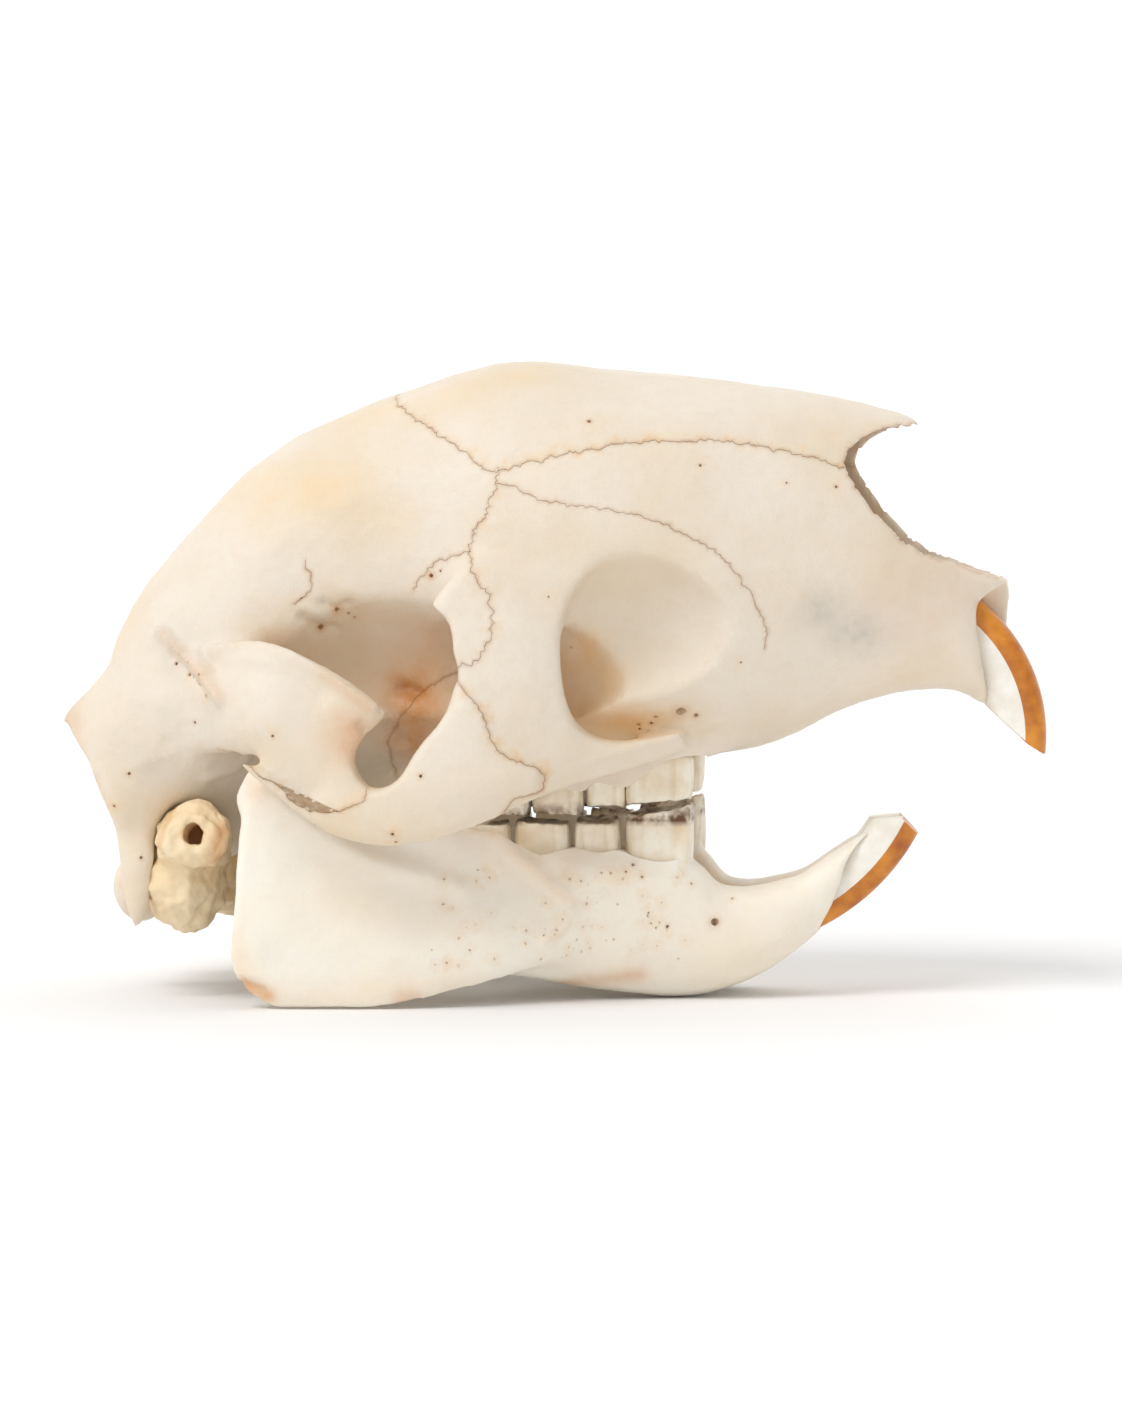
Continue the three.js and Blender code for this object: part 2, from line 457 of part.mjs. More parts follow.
const cranium = joined(shell, paired(oneSide))
  .subtract(paired(joined(egg(BAR_HOLLOW, 14, 10), jugalRoom, bullaRoom)))
  .subtract(noseRoom)
  .subtract(across(smooth(NOSTRIL_OUTLINE, 34)))
  .subtract(joined(egg(FORAMEN_MAGNUM, 14, 8), egg(PALATE_HOLLOW, 16, 8), egg(THROAT, 14, 8)))
  .subtract(paired(plate(UPPER_SOCKET_OUTLINE, -FAR_OUT, -SEPTUM)))
  .subtract(ringTooth(UPPER_INCISOR, GAP))
  .subtract(mirrored(ringTooth(UPPER_INCISOR, GAP)).translate(leftBack));

const nasalRoom = across(widened(NASAL_OUTLINE, GAP));
const snoutRoom = across(widened(SNOUT_OUTLINE, GAP));
const nasals = largest(cranium.intersect(across(NASAL_OUTLINE)));
const snout = largest(
  cranium.subtract(nasalRoom).intersect(across(SNOUT_OUTLINE)).add(paired(upperTeeth)),
);
const braincase = largest(cranium.subtract(nasalRoom).subtract(snoutRoom));

// Lower jaw

const belowFloor = block([-FAR_OUT, -FAR_OUT], [FAR_OUT, 0], -FAR_OUT, FAR_OUT);
const otherHalf = block([-FAR_OUT, -FAR_OUT], [FAR_OUT, FAR_OUT], -GAP / 2, FAR_OUT);
const jawBone = joined(
  bone(CORPUS_ROWS, { around: 14, along: 19 }),
  bone(RAMUS_ROWS, { around: 10, along: 17 }),
  egg(JAW_HEAD, 14, 12),
  lowerTeeth,
);
const jaw = (incisorBack) => largest(
  jawBone
    .subtract(belowFloor)
    .subtract(otherHalf)
    .subtract(plate(LOWER_SOCKET_OUTLINE, -FAR_OUT, -SEPTUM))
    .subtract(ringTooth(LOWER_INCISOR, GAP).translate([-incisorBack, 0, 0])),
);

// The skull put together

function mesh(name, made, finish) {
  const raw = made.getMesh();
  const geometry = new THREE.BufferGeometry();
  geometry.setAttribute("position", new THREE.BufferAttribute(raw.vertProperties, 3));
  geometry.setIndex(new THREE.BufferAttribute(raw.triVerts, 1));
  geometry.computeVertexNormals();
  const one = new THREE.Mesh(geometry, new THREE.MeshStandardMaterial(finish));
  one.name = name;
  return one;
}

const skull = new THREE.Group();
skull.add(mesh("braincase", braincase, BONE));
skull.add(mesh("nasal_bones", nasals, BONE));
skull.add(mesh("upper_jaw", snout, BONE));

for (const [side, place, shift] of [
  ["right", (made) => made, (made) => made],
  ["left", mirrored, (made) => mirrored(made).translate(leftBack)],
]) {
  skull.add(mesh(`cheekbone_${side}`, place(largest(jugal)), BONE));
  skull.add(mesh(`ear_bulla_${side}`, place(largest(bulla)), EAR_BONE));
  skull.add(mesh(`upper_incisor_${side}`, shift(largest(upperIncisor)), ENAMEL));
  skull.add(mesh(`lower_jaw_${side}`, place(jaw(side === "left" ? LEFT_INCISORS_BACK : 0)), BONE));
  skull.add(mesh(`lower_incisor_${side}`, shift(largest(lowerIncisor)), ENAMEL));
}
export default skull;
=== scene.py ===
import math

import bmesh
import bpy
import numpy as np
from mathutils import Matrix, Vector, noise
from mathutils.bvhtree import BVHTree
from mathutils.kdtree import KDTree


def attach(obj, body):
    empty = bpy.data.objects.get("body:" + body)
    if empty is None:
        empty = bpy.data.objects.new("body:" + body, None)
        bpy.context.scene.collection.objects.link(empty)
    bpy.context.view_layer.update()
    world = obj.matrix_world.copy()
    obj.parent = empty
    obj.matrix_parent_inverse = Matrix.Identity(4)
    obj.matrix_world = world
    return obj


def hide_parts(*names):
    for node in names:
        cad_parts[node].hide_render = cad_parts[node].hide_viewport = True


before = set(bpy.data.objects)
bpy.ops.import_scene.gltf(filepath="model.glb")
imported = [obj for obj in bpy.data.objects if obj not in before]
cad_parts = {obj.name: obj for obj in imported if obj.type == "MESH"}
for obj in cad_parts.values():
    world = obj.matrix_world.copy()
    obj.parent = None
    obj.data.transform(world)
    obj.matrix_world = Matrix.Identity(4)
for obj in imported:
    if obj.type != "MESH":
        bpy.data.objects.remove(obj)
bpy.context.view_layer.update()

# Cranium
# Above the jaw joint the skull is one light case of thin bones that have grown edge to edge. It is
# shaped here as a whole from the frame's solids, and parted along its sutures further down.
MM = 0.001  # every size in this script is in millimetres
MERGE = 0.001  # points closer than this count as one
FAR_OUT = 60  # a distance from the middle that is past the skull's sides
CRANIUM_NODES = ["braincase", "nasal_bones", "upper_jaw", "cheekbone_right", "cheekbone_left"]
CRANIUM_GRAIN = 0.55  # the size of the bone's faces
CLOSING = 0.3  # fills the narrow gaps between the solids
SMOOTHINGS = [(50, 0.45), (6, 0.2)]  # rounds, and how far they may move a point


def finished(name, shape):
    """A new piece from a bmesh, with smooth faces."""
    mesh = bpy.data.meshes.new(name)
    shape.to_mesh(mesh)
    shape.free()
    mesh.shade_smooth()
    piece = bpy.data.objects.new(name, mesh)
    bpy.context.scene.collection.objects.link(piece)
    return piece


def copied(name, nodes):
    """A new piece with the merged meshes of these solids."""
    shape = bmesh.new()
    for node in nodes:
        shape.from_mesh(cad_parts[node].data)
    bmesh.ops.remove_doubles(shape, verts=shape.verts, dist=MERGE * MM)
    return finished(name, shape)


def apply(piece, kind, **settings):
    """Runs one modifier over a piece and keeps the result."""
    step = piece.modifiers.new(kind, kind)
    for setting, value in settings.items():
        setattr(step, setting, value)
    with bpy.context.temp_override(object=piece, active_object=piece):
        bpy.ops.object.modifier_apply(modifier=step.name)


def points_of(piece):
    flat = np.empty(3 * len(piece.data.vertices), np.float32)
    piece.data.vertices.foreach_get("co", flat)
    return flat.reshape(-1, 3).astype(float) / MM


def normals_of(piece):
    flat = np.empty(3 * len(piece.data.vertices), np.float32)
    piece.data.vertex_normals.foreach_get("vector", flat)
    return flat.reshape(-1, 3).astype(float)


def set_points(piece, points):
    piece.data.vertices.foreach_set("co", (points * MM).astype(np.float32).ravel())
    piece.data.update()


def relax(piece, rounds, cap):
    """Evens out the facets. No point moves further than cap, so that thin edges stay."""
    before = points_of(piece)
    apply(piece, "SMOOTH", factor=0.5, iterations=rounds)
    step = points_of(piece) - before
    far = np.linalg.norm(step, axis=1, keepdims=True)
    set_points(piece, before + step * np.minimum(1, cap / np.maximum(far, MERGE)))


def grown(name, nodes, grain, knob=None):
    """The solids, and a knob if there is one, as one even skin of small faces."""
    piece = copied(name, nodes)
    if knob:
        cut(piece, knob, "UNION")
    apply(piece, "DISPLACE", strength=CLOSING * MM, mid_level=0)
    apply(piece, "REMESH", mode="VOXEL", voxel_size=grain * MM, use_smooth_shade=True)
    apply(piece, "DISPLACE", strength=-CLOSING * MM, mid_level=0)
    for rounds, cap in SMOOTHINGS:
        relax(piece, rounds, cap)
    return piece


cranium = grown("cranium", CRANIUM_NODES, CRANIUM_GRAIN)

# Relief of the cranium
# Muscles leave crests, rough crusts and shallow hollows on the bone, and small vessels leave pits.
# Each is a stroke: a line of [X, Z] in the side view, its width, and how far it stands out.
CREST_STROKES = [
    ([[-49.0, 53.6], [-42.5, 54.4], [-37.2, 53.6], [-32.0, 51.2], [-27.4, 48.2], [-23.6, 45.6]], 0.8, 1.0),
    ([[-49.0, 51.6], [-43.0, 51.2], [-36.6, 50.0], [-31.6, 47.8]], 2.0, -0.9),
    ([[-57.6, 56.4], [-53.8, 53.0], [-51.5, 51.1], [-48.9, 49.0], [-47.0, 46.8]], 1.1, 1.5),
    ([[-55.6, 53.2], [-53.0, 51.0], [-50.8, 48.4]], 0.6, -0.8), ([[-51.6, 53.4], [-49.4, 50.6]], 0.7, 0.8),
    ([[-59.0, 53.0], [-56.0, 49.8], [-52.6, 46.6], [-50.0, 44.6]], 2.4, -0.8),
    ([[-66.0, 50.0], [-61.0, 44.0], [-57.0, 40.0]], 4.5, -0.9), ([[-62.0, 47.0], [-57.0, 45.4]], 1.6, 0.4),
    ([[-70.0, 45.0], [-66.0, 36.0], [-63.4, 28.0]], 1.4, 0.5), ([[-60.0, 36.6], [-56.0, 37.6]], 1.2, 0.35),
    ([[-66.4, 56.1], [-65.6, 59.2], [-63.7, 62.3]], 1.4, -0.5),
    ([[-37.0, 66.0], [-33.0, 62.0], [-30.5, 57.0], [-29.6, 51.0]], 3.2, -0.5),
    ([[-35.6, 58.6], [-33.6, 56.9], [-31.4, 56.6]], 0.8, -0.8), ([[-35.0, 60.0], [-32.0, 58.2]], 0.7, 0.3),
    ([[-32.6, 60.8], [-30.8, 59.9], [-29.0, 60.6]], 0.7, -0.6), ([[-29.4, 63.0], [-26.0, 62.0]], 1.4, 0.3),
    ([[-51.0, 34.0], [-46.6, 35.6], [-43.6, 39.0]], 0.8, 0.4), ([[-44.0, 42.4], [-38.6, 44.0]], 3.0, 0.35),
    ([[-40.0, 40.0], [-35.0, 37.0]], 2.0, -0.35), ([[-22.0, 47.6], [-20.0, 47.0]], 1.1, -1.4),
    ([[-21.6, 45.0], [-17.6, 43.6]], 1.8, 0.7), ([[-25.0, 43.0], [-22.4, 39.0]], 0.9, -0.9),
    ([[5.2, 36.0], [12.0, 38.4], [20.0, 40.6], [27.0, 43.4]], 1.0, 0.35),
    ([[30.0, 60.0], [40.0, 55.0], [52.0, 52.0]], 5.0, -0.4), ([[38.0, 66.0], [54.0, 64.0]], 4.0, 0.3),
    ([[-2.0, 58.0], [0.5, 46.0]], 3.0, 0.3), ([[-14.0, 33.0], [-4.0, 34.6]], 2.4, 0.3),
]
GRAIN_WAVES = [(0.09, 0.28), (0.24, 0.12), (0.6, 0.05), (1.6, 0.02)]  # waves to the mm, then height
FADE = 2.2  # widths from a stroke's line at which it has faded to nothing


def drawn(line, step=0.5):
    """Points about a step apart, on a smooth curve through a short list of points."""
    given = np.array(line, float)
    ends = 2 * given[0] - given[1], 2 * given[-1] - given[-2]
    held = np.vstack([ends[0], given, ends[1]])
    runs = []
    for a, b, c, d in zip(held, held[1:], held[2:], held[3:]):
        t = np.arange(0, 1, step / max(np.linalg.norm(c - b), step))[:, None]
        bend = (2 * a - 5 * b + 4 * c - d) * t**2 + (3 * b - a - 3 * c + d) * t**3
        runs.append(b + ((c - a) * t + bend) / 2)
    return np.vstack([*runs, given[-1:]])


def on_side(tree, x, z):
    """The point of the right side's surface at X, Z in the side view, and its normal."""
    place, normal, *_ = tree.ray_cast(Vector((x, -FAR_OUT, z)) * MM, Vector((0, 1, 0)))
    return (None, None) if place is None else (np.array(place) / MM, normal)


def tree_of(piece):
    return BVHTree.FromObject(piece, bpy.context.evaluated_depsgraph_get())


def marked(points, tree, strokes):
    """How much each point is marked by strokes that are drawn on both sides of the skull."""
    right = points * [1, 0, 1] - [0, 1, 0] * np.abs(points)
    total = np.zeros(len(points))
    for line, width, strength in strokes:
        path = drawn(line) if len(line) > 1 else np.array(line, float)
        spots = [on_side(tree, x, z)[0] for x, z in path]
        path = np.array([spot for spot in spots if spot is not None])
        if not len(path):
            continue  # the stroke lies past the edge of this piece
        inside = (right > path.min(0) - FADE * width) & (right < path.max(0) + FADE * width)
        near = np.flatnonzero(inside.all(1))
        away = np.full(len(near), np.inf)
        for spot in path:
            away = np.minimum(away, ((right[near] - spot) ** 2).sum(1))
        total[near] += strength * np.exp(-away / width**2)
    return total


def waves(points, layers):
    """A sum of soft noises. A layer is its waves to the millimetre and its height."""
    heights = np.zeros(len(points))
    for pitch, height in layers:
        heights += height * np.array([noise.noise(Vector(p)) for p in points * pitch])
    return heights


def raised(piece, height):
    """Moves each point out along its normal."""
    set_points(piece, points_of(piece) + normals_of(piece) * height[:, None])


points = points_of(cranium)
raised(cranium, marked(points, tree_of(cranium), CREST_STROKES) + waves(points, GRAIN_WAVES))
cranium_side = tree_of(cranium)

# Upper tooth sockets
# The cheek teeth are pieces of their own below. The solids' teeth are cut off along the scalloped
# edge of the sockets, which also gives the jaw bone its thin lip.
UPPER_LIP = [
    [-14.0, 30.2], [-10.3, 30.4], [-7.2, 30.8], [-4.9, 30.6], [-2.6, 31.4], [-0.3, 31.2], [2.0, 32.4],
    [5.4, 32.0], [7.4, 33.4], [9.7, 33.0], [11.5, 32.6], [13.0, 33.2], [15.8, 35.2], [18.0, 36.6],
    [21.1, 37.4], [24.1, 37.4],
]
UPPER_ROW_SIDES = (5.4, 17.5)  # how far from the middle the row's inner and outer sides lie
UPPER_ROW_END = 20  # a level below the worn ends
LIP_STEP = 0.6  # how far apart the points of a lip's edge are


def prism(name, outline, from_y, to_y):
    """A closed block of a side-view outline between two Y levels."""
    shape = bmesh.new()
    corners = [shape.verts.new(Vector((x, from_y, z)) * MM) for x, z in outline]
    face = shape.faces.new(corners)
    pulled = bmesh.ops.extrude_face_region(shape, geom=[face])["geom"]
    moved = [v for v in pulled if isinstance(v, bmesh.types.BMVert)]
    bmesh.ops.translate(shape, verts=moved, vec=Vector((0, to_y - from_y, 0)) * MM)
    bmesh.ops.triangulate(shape, faces=shape.faces)
    bmesh.ops.recalc_face_normals(shape, faces=shape.faces)
    return finished(name, shape)


def cut(piece, tool, how="DIFFERENCE", keep=False):
    """Cuts a piece with a tool, which leaves its own material on the cut."""
    apply(piece, "BOOLEAN", object=tool, operation=how, solver="MANIFOLD", material_mode="TRANSFER")
    if not keep:
        bpy.data.objects.remove(tool)


def trim_row(piece, lip, level, sides, out):
    """Cuts one row of teeth off between the edge of its sockets and a level past its worn ends."""
    edge = drawn(lip, LIP_STEP)
    outline = [*edge, [edge[-1][0], level], [edge[0][0], level]]
    near, far = sorted(out * side for side in sides)
    cut(piece, prism("lip_tool", outline, near, far))


for out in (-1, 1):
    trim_row(cranium, UPPER_LIP, UPPER_ROW_END, UPPER_ROW_SIDES, out)

# Small holes of the cranium
# Nerves and vessels pass through the bone in small round holes. They are drilled square to the
# surface. Each is its X and Z in the side view, its radius and its depth.
DRILL_SIDES = 10
DRILL_TIP, DRILL_HEAD = 0.45, 1.25  # a bit's radii at its two ends, to the hole's own
CRANIUM_HOLES = [
    (7.2, 88.1, 0.4, 1.2), (24.1, 81.5, 0.28, 0.8), (36.8, 78.9, 0.2, 0.6), (44.1, 78.3, 0.28, 0.7),
    (-16.1, 65.0, 0.38, 1.2), (-14.6, 65.7, 0.2, 0.8), (20.7, 44.4, 0.95, 1.6), (22.9, 43.8, 0.45, 1.2),
    (16.9, 43.6, 0.3, 0.9), (16.2, 42.6, 0.3, 0.9), (14.3, 42.4, 0.26, 0.8), (14.4, 41.7, 0.22, 0.7),
    (-33.6, 57.1, 0.5, 1.2), (-30.8, 59.8, 0.42, 1.0), (-29.2, 59.2, 0.25, 0.8), (-28.4, 58.6, 0.2, 0.7),
    (-16.0, 35.7, 0.3, 0.9), (-20.1, 27.1, 0.26, 0.8), (-19.7, 25.9, 0.2, 0.7), (-38.3, 41.4, 0.3, 0.8),
    (-51.6, 42.9, 0.26, 0.8), (-52.6, 50.0, 0.3, 0.8), (-50.6, 50.2, 0.24, 0.7),
    (-54.8, 51.6, 0.28, 0.8), (-49.6, 47.0, 0.2, 0.6), (30.0, 52.0, 0.16, 0.5), (2.0, 62.0, 0.15, 0.5),
    (4.0, 54.0, 0.14, 0.5), (-62.0, 35.0, 0.3, 0.9), (-64.6, 30.0, 0.3, 0.8), (-61.0, 22.0, 0.3, 0.8),
]


def drill(holes, tree):
    """One tool with a tapered bit for each hole, on both sides of the skull."""
    shape = bmesh.new()
    for x, z, radius, depth in holes:
        spot, normal = on_side(tree, x, z)
        for side in (-1, 1):
            across = Matrix.Diagonal((1, -side, 1, 1))
            aim = (across @ normal.to_4d()).to_3d().to_track_quat("Z", "Y").to_matrix().to_4x4()
            place = across @ Vector((*spot, 1))
            bmesh.ops.create_cone(
                shape, cap_ends=True, cap_tris=True, segments=DRILL_SIDES, depth=2 * depth * MM,
                radius1=DRILL_TIP * radius * MM, radius2=DRILL_HEAD * radius * MM,
                matrix=Matrix.Translation(place.to_3d() * MM) @ aim,
            )
    bmesh.ops.recalc_face_normals(shape, faces=shape.faces)
    return finished("drill_bits", shape)


cut(cranium, drill(CRANIUM_HOLES, cranium_side))

# Sutures
# The bones meet in sutures, fine saw-toothed seams. All are sawn with one thin jagged blade, and
# the bones are then lifted out one by one, so that they lie flush as the real ones do.
BLADE = 0.08  # how thick the blade is
SAWN = 0.16  # how deep it goes
NOSTRIL_RIM = [
    [60.0, 88.2], [54.2, 87.6], [50.4, 86.9], [47.2, 85.0], [45.2, 82.4], [46.0, 80.0], [48.2, 76.4],
    [52.0, 72.0], [56.2, 68.7], [61.0, 66.9], [65.6, 65.3], [69.0, 64.6], [78.0, 64.4],
]
NASAL_SUTURE = [
    [-29.0, 99.5], [-23.7, 91.5], [-17.9, 87.6], [-12.4, 84.1], [-7.2, 80.8], [-1.8, 81.8], [3.5, 83.0],
    [9.3, 84.2], [15.2, 85.0], [24.0, 85.3], [29.8, 84.8], [35.7, 83.8], [41.5, 82.4], [45.6, 81.2],
    [52.0, 80.4], [66.0, 80.0],
]
MUZZLE_SUTURE = [
    [-5.7, 81.1], [-6.4, 77.4], [-7.8, 74.8], [-9.2, 71.6], [-9.9, 68.9], [-9.1, 65.9], [-7.2, 62.4],
    [-5.9, 58.5], [-6.4, 55.6], [-8.4, 52.6], [-11.6, 51.4], [-14.5, 48.0], [-15.0, 40.0],
    [-16.5, 34.0], [-17.5, 18.0],
]
CHEEKBONE_SUTURE = [
    [-48.0, 38.8], [-43.2, 37.6], [-39.9, 35.4], [-37.0, 34.0], [-35.1, 31.9], [-32.5, 30.7], [-29.5, 30.3],
    [-26.5, 31.1], [-24.1, 32.2], [-24.2, 34.4], [-24.4, 40.0], [-19.0, 47.0], [-12.6, 50.4], [-10.6, 49.0],
    [-7.5, 45.4], [-6.4, 42.8], [-5.4, 40.0], [-3.4, 38.4], [-1.7, 37.6], [0.6, 36.6], [1.7, 35.4],
    [1.3, 33.6], [-0.6, 32.4], [-3.4, 31.2], [-8.0, 22.0],
]
CHEEKBONE_DEPTH = 26.5  # the cheekbone lies further out than this
MUZZLE_SEEN = 50  # below this the muzzle's suture runs out of sight behind the cheekbone
SHALLOW_SUTURES = [
    [[-6.1, 79.0], [-3.1, 78.1], [0.0, 76.7], [4.5, 75.7], [12.0, 74.8], [16.5, 73.8], [21.0, 71.8],
     [25.8, 69.2], [28.8, 66.6], [30.3, 64.7], [32.3, 61.4], [33.8, 57.7], [33.8, 54.0]],
    [[-9.8, 68.7], [-12.6, 67.9], [-14.9, 67.3], [-16.7, 65.8], [-18.2, 64.3], [-18.8, 62.8]],
    [[-35.6, 67.2], [-34.7, 65.0], [-34.4, 62.7], [-35.6, 61.8], [-37.0, 60.6]],
]
# Corners past the edge of the bone close a line into an outline.
RIM_CORNERS = [[78, 88]]
NASAL_CORNERS = [[66, 104], [-29, 104]]
MUZZLE_CORNERS = [[95, 18], [95, 86], [-5, 86]]
# How far a line's teeth reach to each side, and the seed of their pattern.
RIM_JAGS = 0.5, 13
NASAL_JAGS = 0.55, 3
MUZZLE_JAGS = 0.8, 7
CHEEKBONE_JAGS = 0.35, 5
SHALLOW_JAGS = 0.45, 11
JAG_STEP = 0.3  # how far apart the points of a jagged line are
JAG_COARSE, JAG_FINE = 0.9, 2.6  # waves of its coarse and its fine teeth to the millimetre
FINE_REACH = 0.7  # how far the fine teeth reach, to the coarse ones


def jagged(line, height, seed):
    """A smooth line bent into the small teeth of a suture."""
    path = drawn(line, JAG_STEP)
    ahead = np.gradient(path, axis=0)
    across = np.column_stack([-ahead[:, 1], ahead[:, 0]]) / np.linalg.norm(ahead, axis=1)[:, None]
    teeth = []
    for x, z in path:
        coarse = noise.noise(Vector((x, z, seed)) * JAG_COARSE)
        fine = noise.noise(Vector((x, seed, z)) * JAG_FINE)
        teeth.append(coarse + FINE_REACH * fine)
    return path + across * height * np.array(teeth)[:, None]


def saw(strips):
    """A tool with a thin blade along each strip, a row of points and its depth in Y."""
    shape = bmesh.new()
    for starts, depth in strips:
        corners = [shape.verts.new(Vector(start) * MM) for start in starts]
        edges = [shape.edges.new(pair) for pair in zip(corners, corners[1:])]
        pulled = bmesh.ops.extrude_edge_only(shape, edges=edges)["geom"]
        moved = [v for v in pulled if isinstance(v, bmesh.types.BMVert)]
        bmesh.ops.translate(shape, verts=moved, vec=Vector((0, depth, 0)) * MM)
    bmesh.ops.recalc_face_normals(shape, faces=shape.faces)
    bmesh.ops.solidify(shape, geom=shape.faces, thickness=BLADE * MM)
    bmesh.ops.triangulate(shape, faces=shape.faces)
    bmesh.ops.recalc_face_normals(shape, faces=shape.faces)
    return finished("saw", shape)


def lifted(name, whole, outline, from_y=-FAR_OUT, to_y=FAR_OUT):
    """Lifts the bone inside an outline out of the whole, as a piece of its own."""
    piece = bpy.data.objects.new(name, whole.data.copy())
    bpy.context.scene.collection.objects.link(piece)
    tool = prism("outline_tool", outline, from_y, to_y)
    cut(piece, tool, "INTERSECT", keep=True)
    cut(whole, tool)
    return piece


rim_path = jagged(NOSTRIL_RIM, *RIM_JAGS)
nasal_path = jagged(NASAL_SUTURE, *NASAL_JAGS)
muzzle_path = jagged(MUZZLE_SUTURE, *MUZZLE_JAGS)
cheekbone_path = jagged(CHEEKBONE_SUTURE, *CHEEKBONE_JAGS)
shallow_paths = [jagged(line, *SHALLOW_JAGS) for line in SHALLOW_SUTURES]

cut(cranium, prism("rim_tool", [*rim_path, *RIM_CORNERS], -FAR_OUT, FAR_OUT))
seen_of_muzzle = np.array([[x, z] for x, z in muzzle_path if z > MUZZLE_SEEN])
strips = []
for path in (nasal_path, seen_of_muzzle, cheekbone_path, *shallow_paths):
    spots = [on_side(cranium_side, x, z)[0] for x, z in path]
    spots = [spot for spot in spots if spot is not None]
    for side in (-1, 1):
        strips.append(([(x, -side * (y - SAWN), z) for x, y, z in spots], -side * 2 * SAWN))
cut(cranium, saw(strips))
nasal_bones = lifted("nasal_bone_pair", cranium, [*nasal_path, *NASAL_CORNERS])

cheekbones = []
for side, near, far in (("right", -FAR_OUT, -CHEEKBONE_DEPTH), ("left", CHEEKBONE_DEPTH, FAR_OUT)):
    piece = lifted(f"cheek_strap_{side}", cranium, cheekbone_path, near, far)
    cheekbones.append((piece, f"cheekbone_{side}"))

muzzle = lifted("muzzle", cranium, [*muzzle_path, *MUZZLE_CORNERS])
cranium.name = "cranial_vault"

# Bone finish
# Clean dry bone is ivory, yellow where its fat has stained it, brown in pits, and grey where a dark
# hollow shows through it. Amber and yellow are also painted in as shade: in hollows, by how much
# light the bone around them keeps off, and along the lower jaw's bottom edge, as its shadow on the
# table. In the orbit the amber is partly a painted warm glow of light bounced about inside it. The
# jaw's colours are lighter than the skull's, as painted light thrown up by the table. It is matt
# with a faint polish.
IVORY = (0.80, 0.715, 0.60)
CREAM = (0.74, 0.62, 0.46)
YELLOW = (0.84, 0.60, 0.32)
AMBER = (0.66, 0.28, 0.07)
SLATE = (0.36, 0.35, 0.35)
UMBER = (0.44, 0.19, 0.045)
AMBER_STROKES = [
    # The first strokes, in the orbit, are partly its stain and partly a painted warm glow of light bounced
    # about inside it.
    ([[-21.2, 47.5], [-20.4, 42.9], [-20.7, 39.1]], 4.0, 0.85),
    ([[-17.3, 55.1], [-15.8, 47.5]], 6.0, 0.3), ([[-26.6, 41.4]], 4.0, 0.6),
    ([[-33.6, 57.1]], 0.9, 0.5), ([[-30.8, 59.8]], 0.8, 0.4), ([[-16.1, 65.0]], 0.7, 0.4),
    ([[-57.0, 55.8], [-51.5, 51.1], [-47.4, 47.6]], 1.3, 0.3), ([[-72.4, 42.3], [-66.0, 30.0]], 1.6, 0.25),
    ([[-75.4, 44.0], [-73.0, 39.0], [-69.0, 30.0]], 2.8, 0.4),
    ([[-66.0, 24.0], [-64.0, 14.0]], 3.0, 0.25), ([[-24.0, 45.8], [-31.0, 50.4]], 0.9, 0.3),
    ([[50.2, 62.6], [59.3, 67.2]], 5.0, 0.1), ([[62.3, 62.6], [56.3, 57.0]], 5.0, 0.12),
    ([[64.8, 60.4], [65.0, 56.0], [66.4, 48.6], [67.3, 45.0]], 0.8, 0.4),
]
YELLOW_STROKES = [
    ([[-47.2, 79.2], [-41.0, 77.7], [-33.3, 80.0]], 7.0, 0.4),
    ([[-30.2, 89.0], [-14.8, 92.1], [-4.1, 95.6]], 5.0, 0.4),
    ([[-41.0, 77.7], [-29.2, 76.3], [-21.6, 73.2]], 4.0, 0.25),
    ([[7.5, 52.3], [6.7, 46.3], [9.0, 41.6]], 5.0, 0.45),
    ([[9.0, 41.6], [22.6, 42.2]], 3.0, 0.3), ([[-61.3, 64.7], [-69.2, 48.5], [-74.0, 42.3]], 2.5, 0.3),
    ([[-64.0, 30.0], [-62.0, 14.0]], 4.0, 0.25), ([[-30.0, 27.0], [-12.0, 26.5]], 3.0, 0.2),
    ([[60.0, 50.0], [52.0, 49.0]], 6.0, 0.2), ([[8.0, 88.0]], 3.0, 0.2),
]
SLATE_STROKES = [
    ([[42.1, 59.7], [45.1, 57.2], [48.2, 55.9]], 3.6, 0.42), ([[-37.0, 34.9], [-34.6, 33.9]], 2.2, 0.25),
    ([[-51.9, 44.1], [-48.6, 43.0]], 2.6, 0.2), ([[-55.7, 53.9]], 4.0, 0.12),
    ([[-64.0, 40.0], [-58.0, 36.0]], 3.0, 0.12), ([[-74.6, 43.0], [-72.0, 38.0]], 3.0, 0.22),
]
# A tint's colour, the waves of its patches to the millimetre, and its least share between them. Amber and
# yellow carry painted shade as well as stains.
STAINS_AND_PAINTED_SHADE = [(YELLOW, 0.16, 0.35), (SLATE, 0.3, 0.3), (AMBER, 0.4, 0.6), (UMBER, 0.5, 0.2)]
BONE_RELIEF = [(0.5, 0.12), (1.6, 0.05), (4.0, 0.03)]  # waves to the millimetre, and depth
GLOW_DEPTH = 1.2  # how deep light soaks in
GLOW_COLOURS = (1.0, 0.6, 0.35)  # how deep its red, green and blue go, to that
SHARP = math.radians(38)  # edges sharper than this stay crisp
SHELTER_STEP = 12  # shelter is worked out at one point in this many
SHELTER_NEAREST = 4  # and every point takes the mean of this many of them
SHELTER_RAYS = 14
SHELTER_SEED = 2
SHELTER_SPREAD = 0.9  # how far the rays turn away from the surface's normal
SHELTER_START = 0.4  # how far outside the surface they start
SHELTER_REACH = 26
PAINTED_SHADE_AMBER = 0.38  # how much painted shade, in amber, a fully sheltered spot gets
